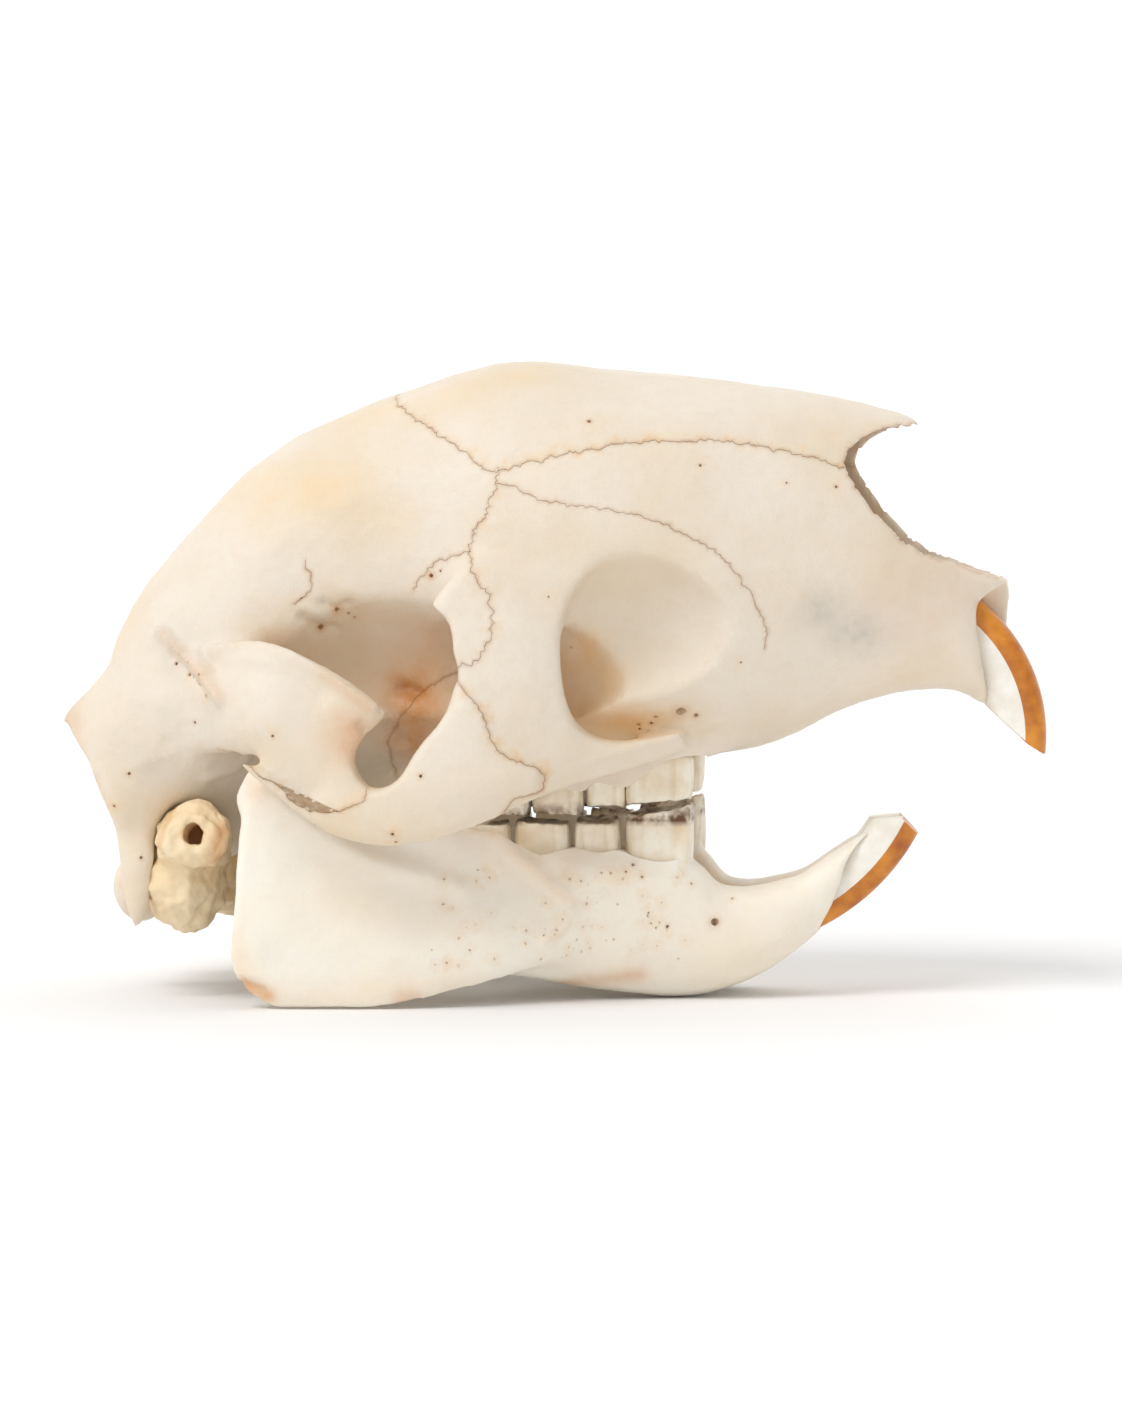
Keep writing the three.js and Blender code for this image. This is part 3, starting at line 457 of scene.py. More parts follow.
# how much painted shade, in yellow, a fully sheltered spot gets
PAINTED_SHADE_YELLOW = 0.65
SEAM_STAIN = 0.6
SEAM_WIDTH = 0.3
HOLE_STAIN = 0.8
HOLE_STAIN_REACH = 1.3  # in the hole's own radii


def noise_node(tree, pitch, detail=2.0, roughness=0.5):
    """A soft noise on the piece's own coordinates, with this many waves to the millimetre."""
    place = tree.nodes.new("ShaderNodeTexCoord")
    made = tree.nodes.new("ShaderNodeTexNoise")
    made.inputs["Scale"].default_value = pitch / MM
    made.inputs["Detail"].default_value = detail
    made.inputs["Roughness"].default_value = roughness
    tree.links.new(place.outputs["Object"], made.inputs["Vector"])
    return made.outputs["Fac"]


def spread(tree, value, low, high, to_low=0.0, to_high=1.0):
    """A value brought from one range to another, and held inside it."""
    made = tree.nodes.new("ShaderNodeMapRange")
    for socket, number in zip(made.inputs[1:5], (low, high, to_low, to_high)):
        socket.default_value = number
    tree.links.new(value, made.inputs["Value"])
    return made.outputs["Result"]


def patches(tree, pitch, low, high, to_low=0.0, to_high=1.0, detail=5.0, roughness=0.5):
    """Soft patches: a noise whose part from low to high is brought to another range."""
    return spread(tree, noise_node(tree, pitch, detail, roughness), low, high, to_low, to_high)


def times(tree, one, other):
    """The product of two values, held between 0 and 1."""
    made = tree.nodes.new("ShaderNodeMath")
    made.operation = "MULTIPLY"
    made.use_clamp = True
    tree.links.new(one, made.inputs[0])
    tree.links.new(other, made.inputs[1])
    return made.outputs["Value"]


def blended(tree, under, colour, share):
    """A colour laid over what is under it, by a share from 0 to 1."""
    made = tree.nodes.new("ShaderNodeMix")
    made.data_type = "RGBA"
    base, over = made.inputs[6:8]
    over.default_value = (*colour, 1)
    if isinstance(under, tuple):
        base.default_value = (*under, 1)
    else:
        tree.links.new(under, base)
    tree.links.new(share, made.inputs[0])
    return made.outputs[2]


def surface(name, roughness, specular=0.4, subsurface=0.0):
    """A new material, with its node tree and its shader."""
    material = bpy.data.materials.new(name)
    material.use_nodes = True
    shader = material.node_tree.nodes["Principled BSDF"]
    shader.inputs["Roughness"].default_value = roughness
    shader.inputs["Specular IOR Level"].default_value = specular
    shader.inputs["Subsurface Weight"].default_value = subsurface
    shader.inputs["Subsurface Scale"].default_value = GLOW_DEPTH * MM
    shader.inputs["Subsurface Radius"].default_value = GLOW_COLOURS
    return material, material.node_tree, shader


def bump(tree, shader, layers):
    """Fine relief. A layer is a noise's waves to the millimetre, and its depth in millimetres."""
    under = None
    for pitch, depth in layers:
        made = tree.nodes.new("ShaderNodeBump")
        made.inputs["Distance"].default_value = depth * MM
        tree.links.new(noise_node(tree, pitch, detail=3), made.inputs["Height"])
        if under:
            tree.links.new(under, made.inputs["Normal"])
        under = made.outputs["Normal"]
    tree.links.new(under, shader.inputs["Normal"])


def bone_material(name, light, dark):
    """Bone in clouds of two colours, stained, and given painted shade, where the tints of its points say
    so.
    """
    material, tree, shader = surface(name, roughness=0.5, subsurface=0.1)
    tints = tree.nodes.new("ShaderNodeAttribute")
    tints.attribute_name = "tints"
    channels = tree.nodes.new("ShaderNodeSeparateColor")
    tree.links.new(tints.outputs["Color"], channels.inputs["Color"])
    amber, yellow, slate = channels.outputs
    umber = tints.outputs["Alpha"]
    clouds = patches(tree, pitch=0.05, low=0.4, high=0.75)
    flecks = patches(tree, pitch=0.6, low=0.5, high=0.8, to_high=0.35, detail=4)
    colour = blended(tree, light, dark, clouds)
    colour = blended(tree, colour, dark, flecks)
    # Besides stains, the amber and yellow tints carry painted shade.
    for (tint, pitch, least), value in zip(STAINS_AND_PAINTED_SHADE, (yellow, slate, amber, umber)):
        patchy = patches(tree, pitch, low=0.3, high=0.7, to_low=least, roughness=0.6)
        colour = blended(tree, colour, tint, times(tree, value, patchy))
    tree.links.new(colour, shader.inputs["Base Color"])
    bump(tree, shader, BONE_RELIEF)
    return material


def near_lines(points, lines, width):
    """How near each point is to any of these lines in the side view, from 0 to 1."""
    lookup = KDTree(sum(len(line) for line in lines))
    for index, (x, z) in enumerate(np.vstack(lines)):
        lookup.insert((x, 0, z), index)
    lookup.balance()
    away = np.array([lookup.find((x, 0, z))[2] for x, _, z in points])
    return np.exp(-((away / width) ** 2))


def sheltered(points, normals, tree):
    """How much of the light is kept from each point by the bone around it, from 0 to 1."""
    noise.seed_set(SHELTER_SEED)
    some = np.arange(0, len(points), SHELTER_STEP)
    lookup = KDTree(len(some))
    for index, one in enumerate(some):
        lookup.insert(points[one], index)
    lookup.balance()
    turns = [SHELTER_SPREAD * noise.random_unit_vector() for _ in range(SHELTER_RAYS)]
    dark = []
    for place, normal in zip(points[some], normals[some]):
        start = Vector(place + SHELTER_START * normal) * MM
        hits = [tree.ray_cast(start, Vector(normal) + turn, SHELTER_REACH * MM)[0] for turn in turns]
        dark.append(sum(hit is not None for hit in hits) / SHELTER_RAYS)
    nearest = [[index for _, index, _ in lookup.find_n(p, SHELTER_NEAREST)] for p in points]
    return np.array(dark)[nearest].mean(1)


def tinted(piece, tree, amber, yellow, slate, holes=(), seams=()):
    """Stores on each point how much it is tinted amber, yellow, grey and umber: stains, and painted shade
    in its hollows and along some strokes.
    """
    points = points_of(piece)
    dark = sheltered(points, normals_of(piece), tree)
    rings = [([[x, z]], HOLE_STAIN_REACH * radius, HOLE_STAIN) for x, z, radius, _ in holes]
    tints = [
        # Painted shade: amber and yellow in hollows, where the bone around a point keeps light off it.
        marked(points, tree, amber) + PAINTED_SHADE_AMBER * dark**2,
        marked(points, tree, yellow) + PAINTED_SHADE_YELLOW * dark,
        marked(points, tree, slate),
        marked(points, tree, rings),
    ]
    if len(seams):
        tints[3] += SEAM_STAIN * near_lines(points, seams, SEAM_WIDTH)
    flat = np.clip(np.column_stack(tints), 0, 1).astype(np.float32)
    piece.data.attributes.new("tints", "FLOAT_COLOR", "POINT").data.foreach_set("color", flat.ravel())


def boned(piece, node, finish):
    """Gives a bone its finish and its place in the frame."""
    piece.data.materials.clear()
    piece.data.materials.append(finish)
    piece.data.shade_smooth()
    piece.data.set_sharp_from_angle(angle=SHARP)
    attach(piece, "root")
    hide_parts(node)


skull_bone = bone_material("skull_bone", IVORY, CREAM)
seams = [nasal_path, seen_of_muzzle, cheekbone_path, *shallow_paths, rim_path]
bones = [(nasal_bones, "nasal_bones"), (muzzle, "upper_jaw"), (cranium, "braincase"), *cheekbones]
for piece, node in bones:
    tinted(piece, cranium_side, AMBER_STROKES, YELLOW_STROKES, SLATE_STROKES, CRANIUM_HOLES, seams)
    boned(piece, node, skull_bone)

# Lower jaw
# Each half of the lower jaw is one bone, a curved bar for the teeth with a broad thin blade behind
# it, where the chewing muscle was fixed. The halves meet under the chin in a rough joint.
# Painted light: the jaw's colours are lighter than the skull's, standing in for light thrown up by the
# table under it.
JAW_IVORY_BOUNCE_LIT = (0.93, 0.88, 0.79)
JAW_CREAM_BOUNCE_LIT = (0.89, 0.80, 0.65)
JAW_GRAIN = 0.45
JAW_STROKES = [
    ([[-9.2, 27.0], [-6.1, 24.4], [-1.6, 20.7], [2.2, 17.7], [4.5, 15.4], [3.9, 13.2], [0.7, 10.1]],
     1.2, 0.8),
    ([[-40.5, 33.0], [-35.2, 29.3], [-29.2, 24.6], [-23.1, 21.6], [-17.1, 19.8], [-12.0, 18.0]], 1.7, 0.8),
    ([[-36.0, 26.0], [-28.0, 19.0], [-18.0, 14.0]], 4.2, -0.7),
    ([[-26.0, 25.6], [-18.0, 24.0]], 2.0, -0.5), ([[5.0, 15.3], [7.3, 16.3], [9.6, 17.6]], 1.1, -0.7),
    ([[1.0, 18.0], [6.0, 13.0], [8.0, 10.0]], 2.6, -0.5),
    ([[-43.0, 30.0], [-44.6, 16.0], [-45.0, 8.0]], 1.2, 0.35), ([[-22.0, 8.0], [-6.0, 11.0]], 2.4, 0.45),
    ([[-44.0, 4.0], [-41.0, 3.0]], 0.9, -0.8), ([[12.0, 8.0], [26.0, 7.0]], 4.0, 0.3),
    ([[22.0, 19.0], [30.0, 13.0]], 2.0, -0.3),
]
JAW_AMBER = [
    ([[-44.4, 3.8], [-42.2, 3.0], [-40.2, 2.3]], 1.3, 0.8), ([[-42.0, 33.2]], 2.2, 0.3),
    ([[-9.0, 27.0], [-4.0, 25.0]], 1.4, 0.3), ([[43.0, 12.0], [45.0, 16.0]], 1.6, 0.5),
    # Painted shadow: this stroke runs along the jaw's bottom edge, where it meets the table.
    ([[-20.0, 1.5], [0.0, 2.5], [14.0, 4.0]], 1.6, 0.5),
    ([[-9.2, 27.0], [-1.6, 20.7], [4.5, 15.4]], 0.8, 0.2),
]
JAW_YELLOW = [
    ([[-18.0, 16.0], [-6.0, 13.0]], 9.0, 0.12), ([[-46.0, 12.0], [-43.0, 4.0]], 2.4, 0.45),
    # Painted shadow: the first stroke here runs along the jaw's bottom edge, where it meets the table.
    ([[-40.0, 1.5], [-10.0, 4.0]], 2.6, 0.3), ([[-6.0, 22.0], [12.0, 20.0]], 3.5, 0.3),
    ([[26.0, 10.0], [36.0, 12.0]], 6.0, 0.15),
]
JAW_SLATE = [([[-40.0, 9.0]], 2.4, 0.14), ([[-36.0, 22.0]], 3.0, 0.08)]
LOWER_LIP = [
    [-14.0, 25.6], [-9.5, 25.0], [-4.9, 23.7], [-1.1, 22.5], [3.9, 23.4], [8.1, 22.8], [10.9, 23.1],
    [14.2, 21.9], [18.1, 21.4], [21.9, 22.5], [23.0, 24.5],
]
LOWER_ROW_SIDES = (5.0, 18.5)
LOWER_ROW_END = 34
JAW_HOLES = [
    (25.6, 12.2, 0.75, 2.0), (18.5, 11.6, 0.3, 0.9), (13.3, 21.0, 0.3, 0.8), (14.7, 19.2, 0.22, 0.7),
    (12.3, 20.0, 0.2, 0.7), (22.0, 18.0, 0.18, 0.6), (28.0, 15.6, 0.16, 0.5),
]
PORES = 70  # fine pores strewn over the thick part of the jaw, besides the holes above
PORE_SEED = 4
PORES_FROM, PORES_TO = (-16.0, 6.0), (22.0, 21.0)
PORE_LEAST, PORE_MORE = 0.05, 0.11  # the least radius, and how much is added at most
PORE_DEPTH = 0.4
KNOB = (-42.3, 28.8, 31.4)  # the back of the jaw joint's head
KNOB_RADII = (3.0, 2.2, 3.6)
KNOB_SIDES, KNOB_LEVELS = 24, 16


def pore():
    """A hole of a chance place and size in the jaw's field of pores."""
    x = PORES_FROM[0] + noise.random() * (PORES_TO[0] - PORES_FROM[0])
    z = PORES_FROM[1] + noise.random() * (PORES_TO[1] - PORES_FROM[1])
    return x, z, PORE_LEAST + PORE_MORE * noise.random() ** 2, PORE_DEPTH


def knob(out):
    """The rounded knob at the jaw's upper back corner."""
    shape = bmesh.new()
    bmesh.ops.create_uvsphere(shape, u_segments=KNOB_SIDES, v_segments=KNOB_LEVELS, radius=MM)
    bmesh.ops.scale(shape, verts=shape.verts, vec=Vector(KNOB_RADII))
    x, y, z = KNOB
    bmesh.ops.translate(shape, verts=shape.verts, vec=Vector((x, out * y, z)) * MM)
    return finished("knob", shape)


noise.seed_set(PORE_SEED)
jaw_holes = JAW_HOLES + [pore() for _ in range(PORES)]
jaw_bone = bone_material("jaw_bone", JAW_IVORY_BOUNCE_LIT, JAW_CREAM_BOUNCE_LIT)
for side, out in (("right", -1), ("left", 1)):
    jaw = grown(f"jaw_half_{side}", [f"lower_jaw_{side}"], JAW_GRAIN, knob(out))
    if side == "right":
        jaw_side = tree_of(jaw)
    points = points_of(jaw)
    raised(jaw, marked(points, jaw_side, JAW_STROKES) + waves(points, GRAIN_WAVES))
    if side == "right":
        jaw_side = tree_of(jaw)
    trim_row(jaw, LOWER_LIP, LOWER_ROW_END, LOWER_ROW_SIDES, out)
    cut(jaw, drill(jaw_holes, jaw_side))
    tinted(jaw, jaw_side, JAW_AMBER, JAW_YELLOW, JAW_SLATE, jaw_holes)
    boned(jaw, f"lower_jaw_{side}", jaw_bone)

# Ear bones
# The ear bone is a thin hollow bulb under the braincase, with a short thick-lipped tube for the
# ear's opening. It is fixed only along its edges and is yellower than the skull round it.
EAR_BONE = (0.86, 0.71, 0.48)
EAR_BROWN = (0.76, 0.52, 0.25)
EAR_GRAIN = 0.3
EAR_SMOOTHING = 5, 0.3  # rounds, and how far they may move a point
EAR_MOUTH = (-51.5, 27.4, 25.9)
EAR_RINGS = [(3.6, 1.4, 0.0), (2.6, 0.9, 1.1)]  # radius, thickness, and how far out it stands
RING_SIDES, RING_STEPS = 16, 48  # round its section, and round its axis
EAR_LUMPS = [(0.2, 1.0), (0.42, 0.7), (0.9, 0.3), (2.2, 0.07)]
EAR_AMBER = [
    ([[-47.6, 26.5], [-48.4, 22.4]], 1.4, 0.7), ([[-51.4, 26.0]], 1.9, 0.75),
    ([[-55.6, 30.0], [-57.4, 24.0]], 0.8, 0.5),
]
EAR_YELLOW = [
    ([[-56.0, 28.0], [-50.0, 31.0], [-47.0, 27.0]], 2.5, 0.4), ([[-56.0, 22.0], [-50.0, 20.0]], 2.0, 0.3),
]


def ring(middle, radius, thickness):
    """A round ring about an axis across the skull."""
    shape = bmesh.new()
    start = Vector(middle) + Vector((radius, 0, 0))
    bmesh.ops.create_circle(
        shape, segments=RING_SIDES, radius=thickness * MM, matrix=Matrix.Translation(start * MM),
    )
    bmesh.ops.spin(
        shape, geom=[*shape.verts, *shape.edges], cent=Vector(middle) * MM, axis=(0, 1, 0),
        angle=2 * math.pi, steps=RING_STEPS, use_merge=True,
    )
    bmesh.ops.recalc_face_normals(shape, faces=shape.faces)
    return finished("ring", shape)


ear_bone = bone_material("ear_bone", EAR_BONE, EAR_BROWN)
for side, out in (("right", -1), ("left", 1)):
    ear = grown(f"ear_bulb_{side}", [f"ear_bulla_{side}"], EAR_GRAIN)
    for radius, thickness, stands in EAR_RINGS:
        x, y, z = EAR_MOUTH
        cut(ear, ring((x, out * (y + stands - thickness), z), radius, thickness), "UNION")
    apply(ear, "REMESH", mode="VOXEL", voxel_size=EAR_GRAIN * MM, use_smooth_shade=True)
    relax(ear, *EAR_SMOOTHING)
    raised(ear, waves(points_of(ear), EAR_LUMPS))
    if side == "right":
        ear_side = tree_of(ear)
    tinted(ear, ear_side, EAR_AMBER, EAR_YELLOW, [])
    boned(ear, f"ear_bulla_{side}", ear_bone)

# Cheek teeth
# Four ridged grinding teeth stand in each row. A tooth is a tall column of enamel, pinched by a
# groove on each side, and worn flat and hollow on top, where its softer dentine shows.
TOOTH_SIDES = 40
TOOTH_LEVELS = 5
TOOTH_WIDTH = 7.2
TOOTH_SQUARE = 0.55  # 1 is a round outline, and less is a squarer one
TOOTH_TAPER = 0.07  # how much narrower it is at its ends than halfway up
GROOVE = 0.2  # how deep the groove on each side is, to half the width
GROOVE_AT = 0.16  # where along the tooth, to half its length
GROOVE_SPREAD = 0.02
WORN_RIM = 0.16  # the rim of the worn end, to half the width
WORN_HOLLOW = 0.05  # how deep it is hollowed, to the tooth's height
# A row has its root's Z, its distance from the middle, and how far each tooth stands further out.
# A tooth has its middle X, length, worn outer end behind and in front, and lean towards the snout.
UPPER_ROW = {
    "root": 38.0, "side": 9.6, "outwards": 0.7,
    "teeth": [
        (17.0, 10.2, 29.9, 30.6, -0.4), (8.6, 6.0, 29.6, 29.7, 0.2), (1.3, 7.9, 28.5, 28.2, 0.2),
        (-6.8, 7.4, 27.8, 28.2, 0.3),
    ],
}
LOWER_ROW = {
    "root": 14.0, "side": 10.0, "outwards": 0.9,
    "teeth": [
        (16.7, 10.4, 28.3, 30.3, 0.2), (7.4, 7.0, 27.4, 27.3, 0.0), (-0.8, 8.4, 27.7, 27.1, 0.0),
        (-9.4, 7.6, 27.0, 27.2, 0.0),
    ],
}
BITE = 0.04  # the inner ends stay this far from where the two rows would meet
RIBS = [(0.75, 0.3), (1.7, 0.12)]  # waves of the upright ribs on a tooth's sides
RIB_STRETCH = np.array([1, 1, 0.16])
ENAMEL = (0.93, 0.86, 0.72)
ENAMEL_DARK = (0.74, 0.56, 0.33)
WORN_STAIN_AND_GAP_SHADE = (0.13, 0.05, 0.016)
BROWN_FROM = (26.6, 27.6)  # the brown, stain of the worn ends and painted shade of the gap between the rows, sets in between these levels, and fades between these
BROWN_TO = (28.4, 30.6)  # and fades between these
CHEEK_TOOTH_RELIEF = [(0.9, 0.06), (3.0, 0.03)]


def tooth(shape, x, y, root, outer, inner, length, lean):
    """Adds one tooth, whose rings are moved from a round column into its own outline."""
    start = set(shape.verts)
    bmesh.ops.create_circle(shape, cap_ends=True, segments=TOOTH_SIDES, radius=1)
    cap = [f for f in shape.faces if not start.intersection(f.verts)]
    for level in range(TOOTH_LEVELS):
        pulled = bmesh.ops.extrude_face_region(shape, geom=cap)["geom"]
        moved = [v for v in pulled if isinstance(v, bmesh.types.BMVert)]
        bmesh.ops.translate(shape, verts=moved, vec=(0, 0, 1 / TOOTH_LEVELS))
        if level:
            bmesh.ops.delete(shape, geom=cap, context="FACES_ONLY")
        cap = [f for f in pulled if isinstance(f, bmesh.types.BMFace)]
    bmesh.ops.inset_region(shape, faces=cap, thickness=WORN_RIM, depth=0)
    hollow = list({v for f in cap for v in f.verts})
    bmesh.ops.translate(shape, verts=hollow, vec=(0, 0, -WORN_HOLLOW))
    for vert in set(shape.verts) - start:
        u, v, height = vert.co
        at_end = v**2 < u**2
        pinch = 1 - GROOVE * math.exp(-(at_end + (u - GROOVE_AT) ** 2 / GROOVE_SPREAD))
        wide = math.copysign(abs(v) ** TOOTH_SQUARE, v) * pinch
        along = math.copysign(abs(u) ** TOOTH_SQUARE, u)
        inwards = (1 - math.copysign(v, v * y)) / 2
        behind, before = (far + (near - far) * inwards for far, near in zip(outer, inner))
        crown = behind + (before - behind) * (along + 1) / 2
        swell = 1 - TOOTH_TAPER * (2 * height - 1) ** 2
        vert.co = Vector((
            x + along * length / 2 * swell + lean * height,
            y + wide * TOOTH_WIDTH / 2 * swell,
            root + (crown - root) * height,
        )) * MM


def tooth_row(name, row, facing, bite, out):
    """One row of cheek teeth. Their inner ends nearly meet those of the row that faces them."""
    shape = bmesh.new()
    for index, (one, other) in enumerate(zip(row["teeth"], facing["teeth"])):
        x, length, behind, before, lean = one
        y = out * (row["side"] + row["outwards"] * index)
        inner = (behind + other[2]) / 2 + bite, (before + other[3]) / 2 + bite
        tooth(shape, x, y, row["root"], (behind, before), inner, length, lean)
    bmesh.ops.recalc_face_normals(shape, faces=shape.faces)
    piece = finished(name, shape)
    apply(piece, "SUBSURF", levels=2, render_levels=2)
    raised(piece, waves(points_of(piece) * RIB_STRETCH, RIBS))
    return piece


def tooth_material(name):
    """Enamel with darker clouds, and brown in patches about the level where the rows meet: the stain of the
    worn ends, and painted shade of the gap between the rows.
    """
    material, tree, shader = surface(name, roughness=0.3, specular=0.5, subsurface=0.15)
    clouds = patches(tree, pitch=0.25, low=0.4, high=0.75, to_high=0.8)
    colour = blended(tree, ENAMEL, ENAMEL_DARK, clouds)
    place = tree.nodes.new("ShaderNodeTexCoord")
    height = tree.nodes.new("ShaderNodeSeparateXYZ")
    tree.links.new(place.outputs["Object"], height.inputs["Vector"])
    setting_in = spread(tree, height.outputs["Z"], *(level * MM for level in BROWN_FROM))
    fading = spread(tree, height.outputs["Z"], *(level * MM for level in BROWN_TO), to_low=1, to_high=0)
    brown = times(tree, setting_in, fading)
    brown = times(tree, brown, patches(tree, pitch=0.5, low=0.35, high=0.6, detail=4))
    # Painted shade: the brown also stands in for the shade of the gap between the rows, besides the stain
    # of the worn ends.
    colour = blended(tree, colour, WORN_STAIN_AND_GAP_SHADE, brown)
    tree.links.new(colour, shader.inputs["Base Color"])
    bump(tree, shader, CHEEK_TOOTH_RELIEF)
    return material


cheek_enamel = tooth_material("cheek_enamel")
for side, out in (("right", -1), ("left", 1)):
    for name, row, facing, bite, slot in (
        ("upper", UPPER_ROW, LOWER_ROW, BITE, "skull_bone"),
        ("lower", LOWER_ROW, UPPER_ROW, -BITE, "jaw_bone"),
    ):
        teeth = tooth_row(f"{name}_cheek_teeth_{side}", row, facing, bite, out)
        teeth.data.materials.append(cheek_enamel)
        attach(teeth, "root")

# Incisors
# A front tooth is a piece of a ring that grows for life. Only its front has enamel, stained orange
# by iron; the white dentine behind wears away faster, and leaves a chisel edge.
# The ring's middle and outer radius, the tooth's own section, how far it stands from the middle of the
# skull, the angles that it runs between, and the lines that it is ground along.
INCISORS = {
    "upper": {
        "x": 49.2, "z": 40.3, "outer": 26.18, "depth": 8.3, "width": 5.9, "y": 3.55,
        "from": 2.05, "to": -0.1,
        "worn": [((66.6, 44.8), (73.4, 38.7)), ((73.4, 38.7), (77.0, 36.4))],
    },
    "lower": {
        "x": 25.4, "z": 41.4, "outer": 34.5, "depth": 7.1, "width": 5.4, "y": 3.4,
        "from": -1.45, "to": -0.45,
        "worn": [((56.8, 24.4), (53.6, 27.7)), ((53.6, 27.7), (49.4, 27.3))],
    },
}
ORANGE = (0.72, 0.27, 0.022)
RUST = (0.40, 0.10, 0.008)
DENTINE = (0.94, 0.92, 0.87)
DENTINE_DARK = (0.80, 0.74, 0.62)
INCISOR_RELIEF = [(0.8, 0.06), (3.0, 0.02)]
INCISOR_SIDES = 36
INCISOR_STEPS = 90
SQUARE_DEEP, SQUARE_WIDE = 0.8, 0.72  # 1 is a round section, and less is a squarer one
FRONT_FLARE = 0.06  # how much wider the front is than halfway back
ENAMEL_BAND = 0.34  # the share of the tooth's depth that its enamel reaches back on the sides
LEFT_BACK = 0.8  # the left ones have grown out this much less


def incisor(name, size, out, shift):
    """Half a ring turned from a rounded section, then ground to its chisel edge."""
    shape = bmesh.new()
    bmesh.ops.create_circle(shape, cap_ends=True, segments=INCISOR_SIDES, radius=1)
    middle = size["outer"] - size["depth"] / 2
    for vert in shape.verts:
        u, v, _ = vert.co
        reach = middle + math.copysign(abs(u) ** SQUARE_DEEP, u) * size["depth"] / 2
        wide = math.copysign(abs(v) ** SQUARE_WIDE, v) * size["width"] / 2 * (1 + FRONT_FLARE * u)
        turn = size["from"]
        vert.co = Vector((
            size["x"] + reach * math.cos(turn) + shift,
            out * size["y"] + wide,
            size["z"] + reach * math.sin(turn),
        )) * MM
    centre = Vector((size["x"] + shift, 0, size["z"])) * MM
    bmesh.ops.spin(
        shape, geom=[*shape.verts, *shape.edges, *shape.faces], cent=centre, axis=(0, 1, 0),
        angle=size["from"] - size["to"], steps=INCISOR_STEPS, use_duplicate=False,
    )
    bmesh.ops.remove_doubles(shape, verts=shape.verts, dist=MERGE * MM)
    bmesh.ops.recalc_face_normals(shape, faces=shape.faces)
    for (x, z), (to_x, to_z) in size["worn"]:
        across = Vector((to_z - z, 0, x - to_x)).normalized()
        everything = [*shape.verts, *shape.edges, *shape.faces]
        place = Vector((x + shift, 0, z)) * MM
        made = bmesh.ops.bisect_plane(
            shape, geom=everything, plane_co=place, plane_no=across, clear_outer=True,
        )
        edges = [e for e in made["geom_cut"] if isinstance(e, bmesh.types.BMEdge)]
        bmesh.ops.holes_fill(shape, edges=edges, sides=0)
    for face in shape.faces:
        away = (face.calc_center_median() - centre) / MM
        reach = math.hypot(away.x, away.z)
        if reach > size["outer"] - size["depth"] * ENAMEL_BAND:
            face.material_index = 1
    bmesh.ops.recalc_face_normals(shape, faces=shape.faces)
    return finished(name, shape)


def incisor_material(name, light, dark, roughness):
    """Enamel or dentine in clouds of two colours."""
    material, tree, shader = surface(name, roughness, specular=0.5, subsurface=0.05)
    colour = blended(tree, light, dark, patches(tree, pitch=0.25, low=0.35, high=0.7))
    tree.links.new(colour, shader.inputs["Base Color"])
    bump(tree, shader, INCISOR_RELIEF)
    return material


orange_enamel = incisor_material("orange_enamel", ORANGE, RUST, roughness=0.28)
dentine = incisor_material("dentine", DENTINE, DENTINE_DARK, roughness=0.45)
for side, out in (("right", -1), ("left", 1)):
    for name, size in INCISORS.items():
        piece = incisor(f"{name}_gnawing_tooth_{side}", size, out, -LEFT_BACK if side == "left" else 0)
        piece.data.materials.append(dentine)
        piece.data.materials.append(orange_enamel)
        piece.data.set_sharp_from_angle(angle=SHARP)
        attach(piece, "root")
        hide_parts(f"{name}_incisor_{side}")

# Floor
# The skull lies on a plain white table, which keeps only its soft shadow.
FLOOR_REACH = 6000  # so far that its edge lies out of the picture
FLOOR_WHITE = (0.93, 0.93, 0.93, 1)

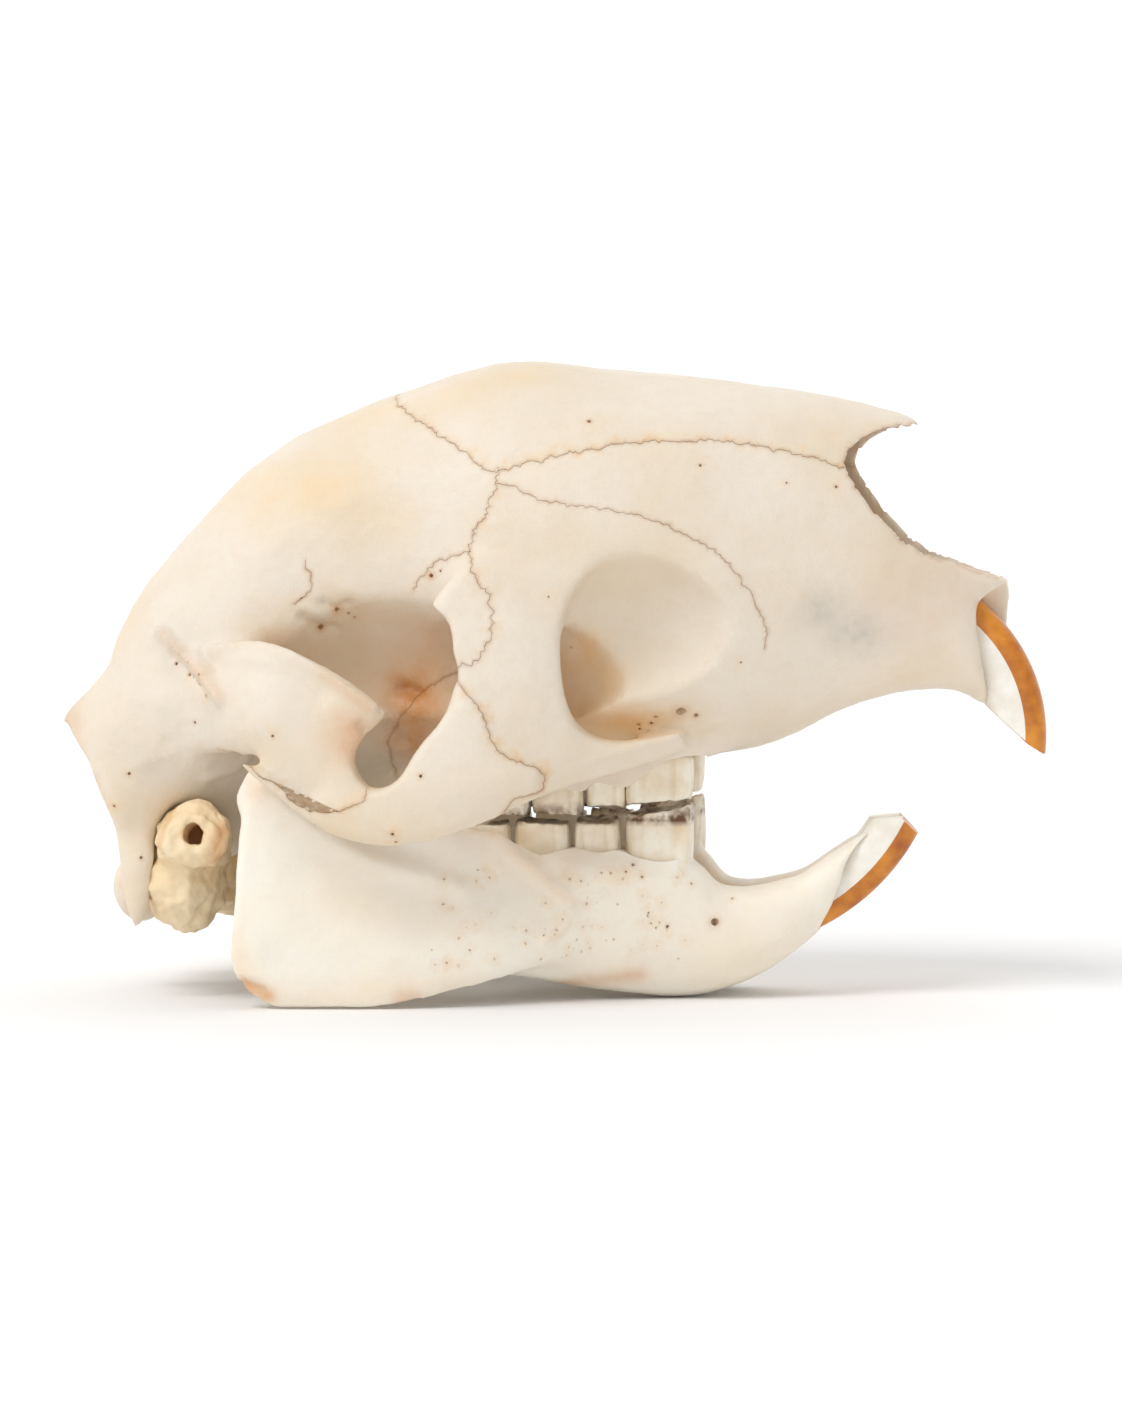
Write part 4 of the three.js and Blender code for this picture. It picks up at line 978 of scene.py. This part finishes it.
sheet = bmesh.new()
bmesh.ops.create_grid(sheet, x_segments=1, y_segments=1, size=FLOOR_REACH * MM)
floor = finished("floor", sheet)
paper, tree, shader = surface("white_paper", roughness=0.9, specular=0.0)
shader.inputs["Base Color"].default_value = FLOOR_WHITE
floor.data.materials.append(paper)

# Light
# A white studio. The wall behind is the brightest, the room in front is dimmer, and a broad lamp
# high on the left, in front, gives the bones their soft modelling.
BACKDROP = 1.08
ROOM = 0.52
LAMPS = [  # name, where it shines from, strength, softness in degrees
    ("key", (-0.55, -0.7, 1.05), 1.45, 32), ("fill", (0.0, -1, 0.1), 0.36, 60),
]

world = bpy.data.worlds.new("studio")
world.use_nodes = True
sky = world.node_tree
place = sky.nodes.new("ShaderNodeTexCoord")
axes = sky.nodes.new("ShaderNodeSeparateXYZ")
sky.links.new(place.outputs["Generated"], axes.inputs["Vector"])
background = sky.nodes["Background"]
background.inputs["Color"].default_value = (1, 1, 1, 1)
brightness = spread(sky, axes.outputs["Y"], low=-0.3, high=0.4, to_low=ROOM, to_high=BACKDROP)
sky.links.new(brightness, background.inputs["Strength"])
bpy.context.scene.world = world
bpy.context.scene.view_settings.view_transform = "Standard"

for name, shines_from, strength, softness in LAMPS:
    lamp = bpy.data.objects.new(name, bpy.data.lights.new(name, "SUN"))
    lamp.data.energy = strength
    lamp.data.angle = math.radians(softness)
    lamp.rotation_euler = Vector(shines_from).to_track_quat("Z", "Y").to_euler()
    bpy.context.scene.collection.objects.link(lamp)

# Camera
# The photo's view, a little from the front and a little from above.
LOOK_AT = Vector((0.5, 0, 45))
DISTANCE = 700
AZIMUTH, ELEVATION = math.radians(6.8), math.radians(3)
FIELD = 217.3  # what the frame's height takes in at that distance

level = math.cos(ELEVATION)
back = Vector((math.sin(AZIMUTH) * level, -math.cos(AZIMUTH) * level, math.sin(ELEVATION)))
camera = bpy.data.objects.new("camera", bpy.data.cameras.new("camera"))
camera.data.sensor_width = 36
camera.data.lens = camera.data.sensor_width * DISTANCE / FIELD
camera.location = (LOOK_AT + back * DISTANCE) * MM
camera.rotation_euler = back.to_track_quat("Z", "Y").to_euler()
bpy.context.scene.collection.objects.link(camera)
bpy.context.scene.camera = camera
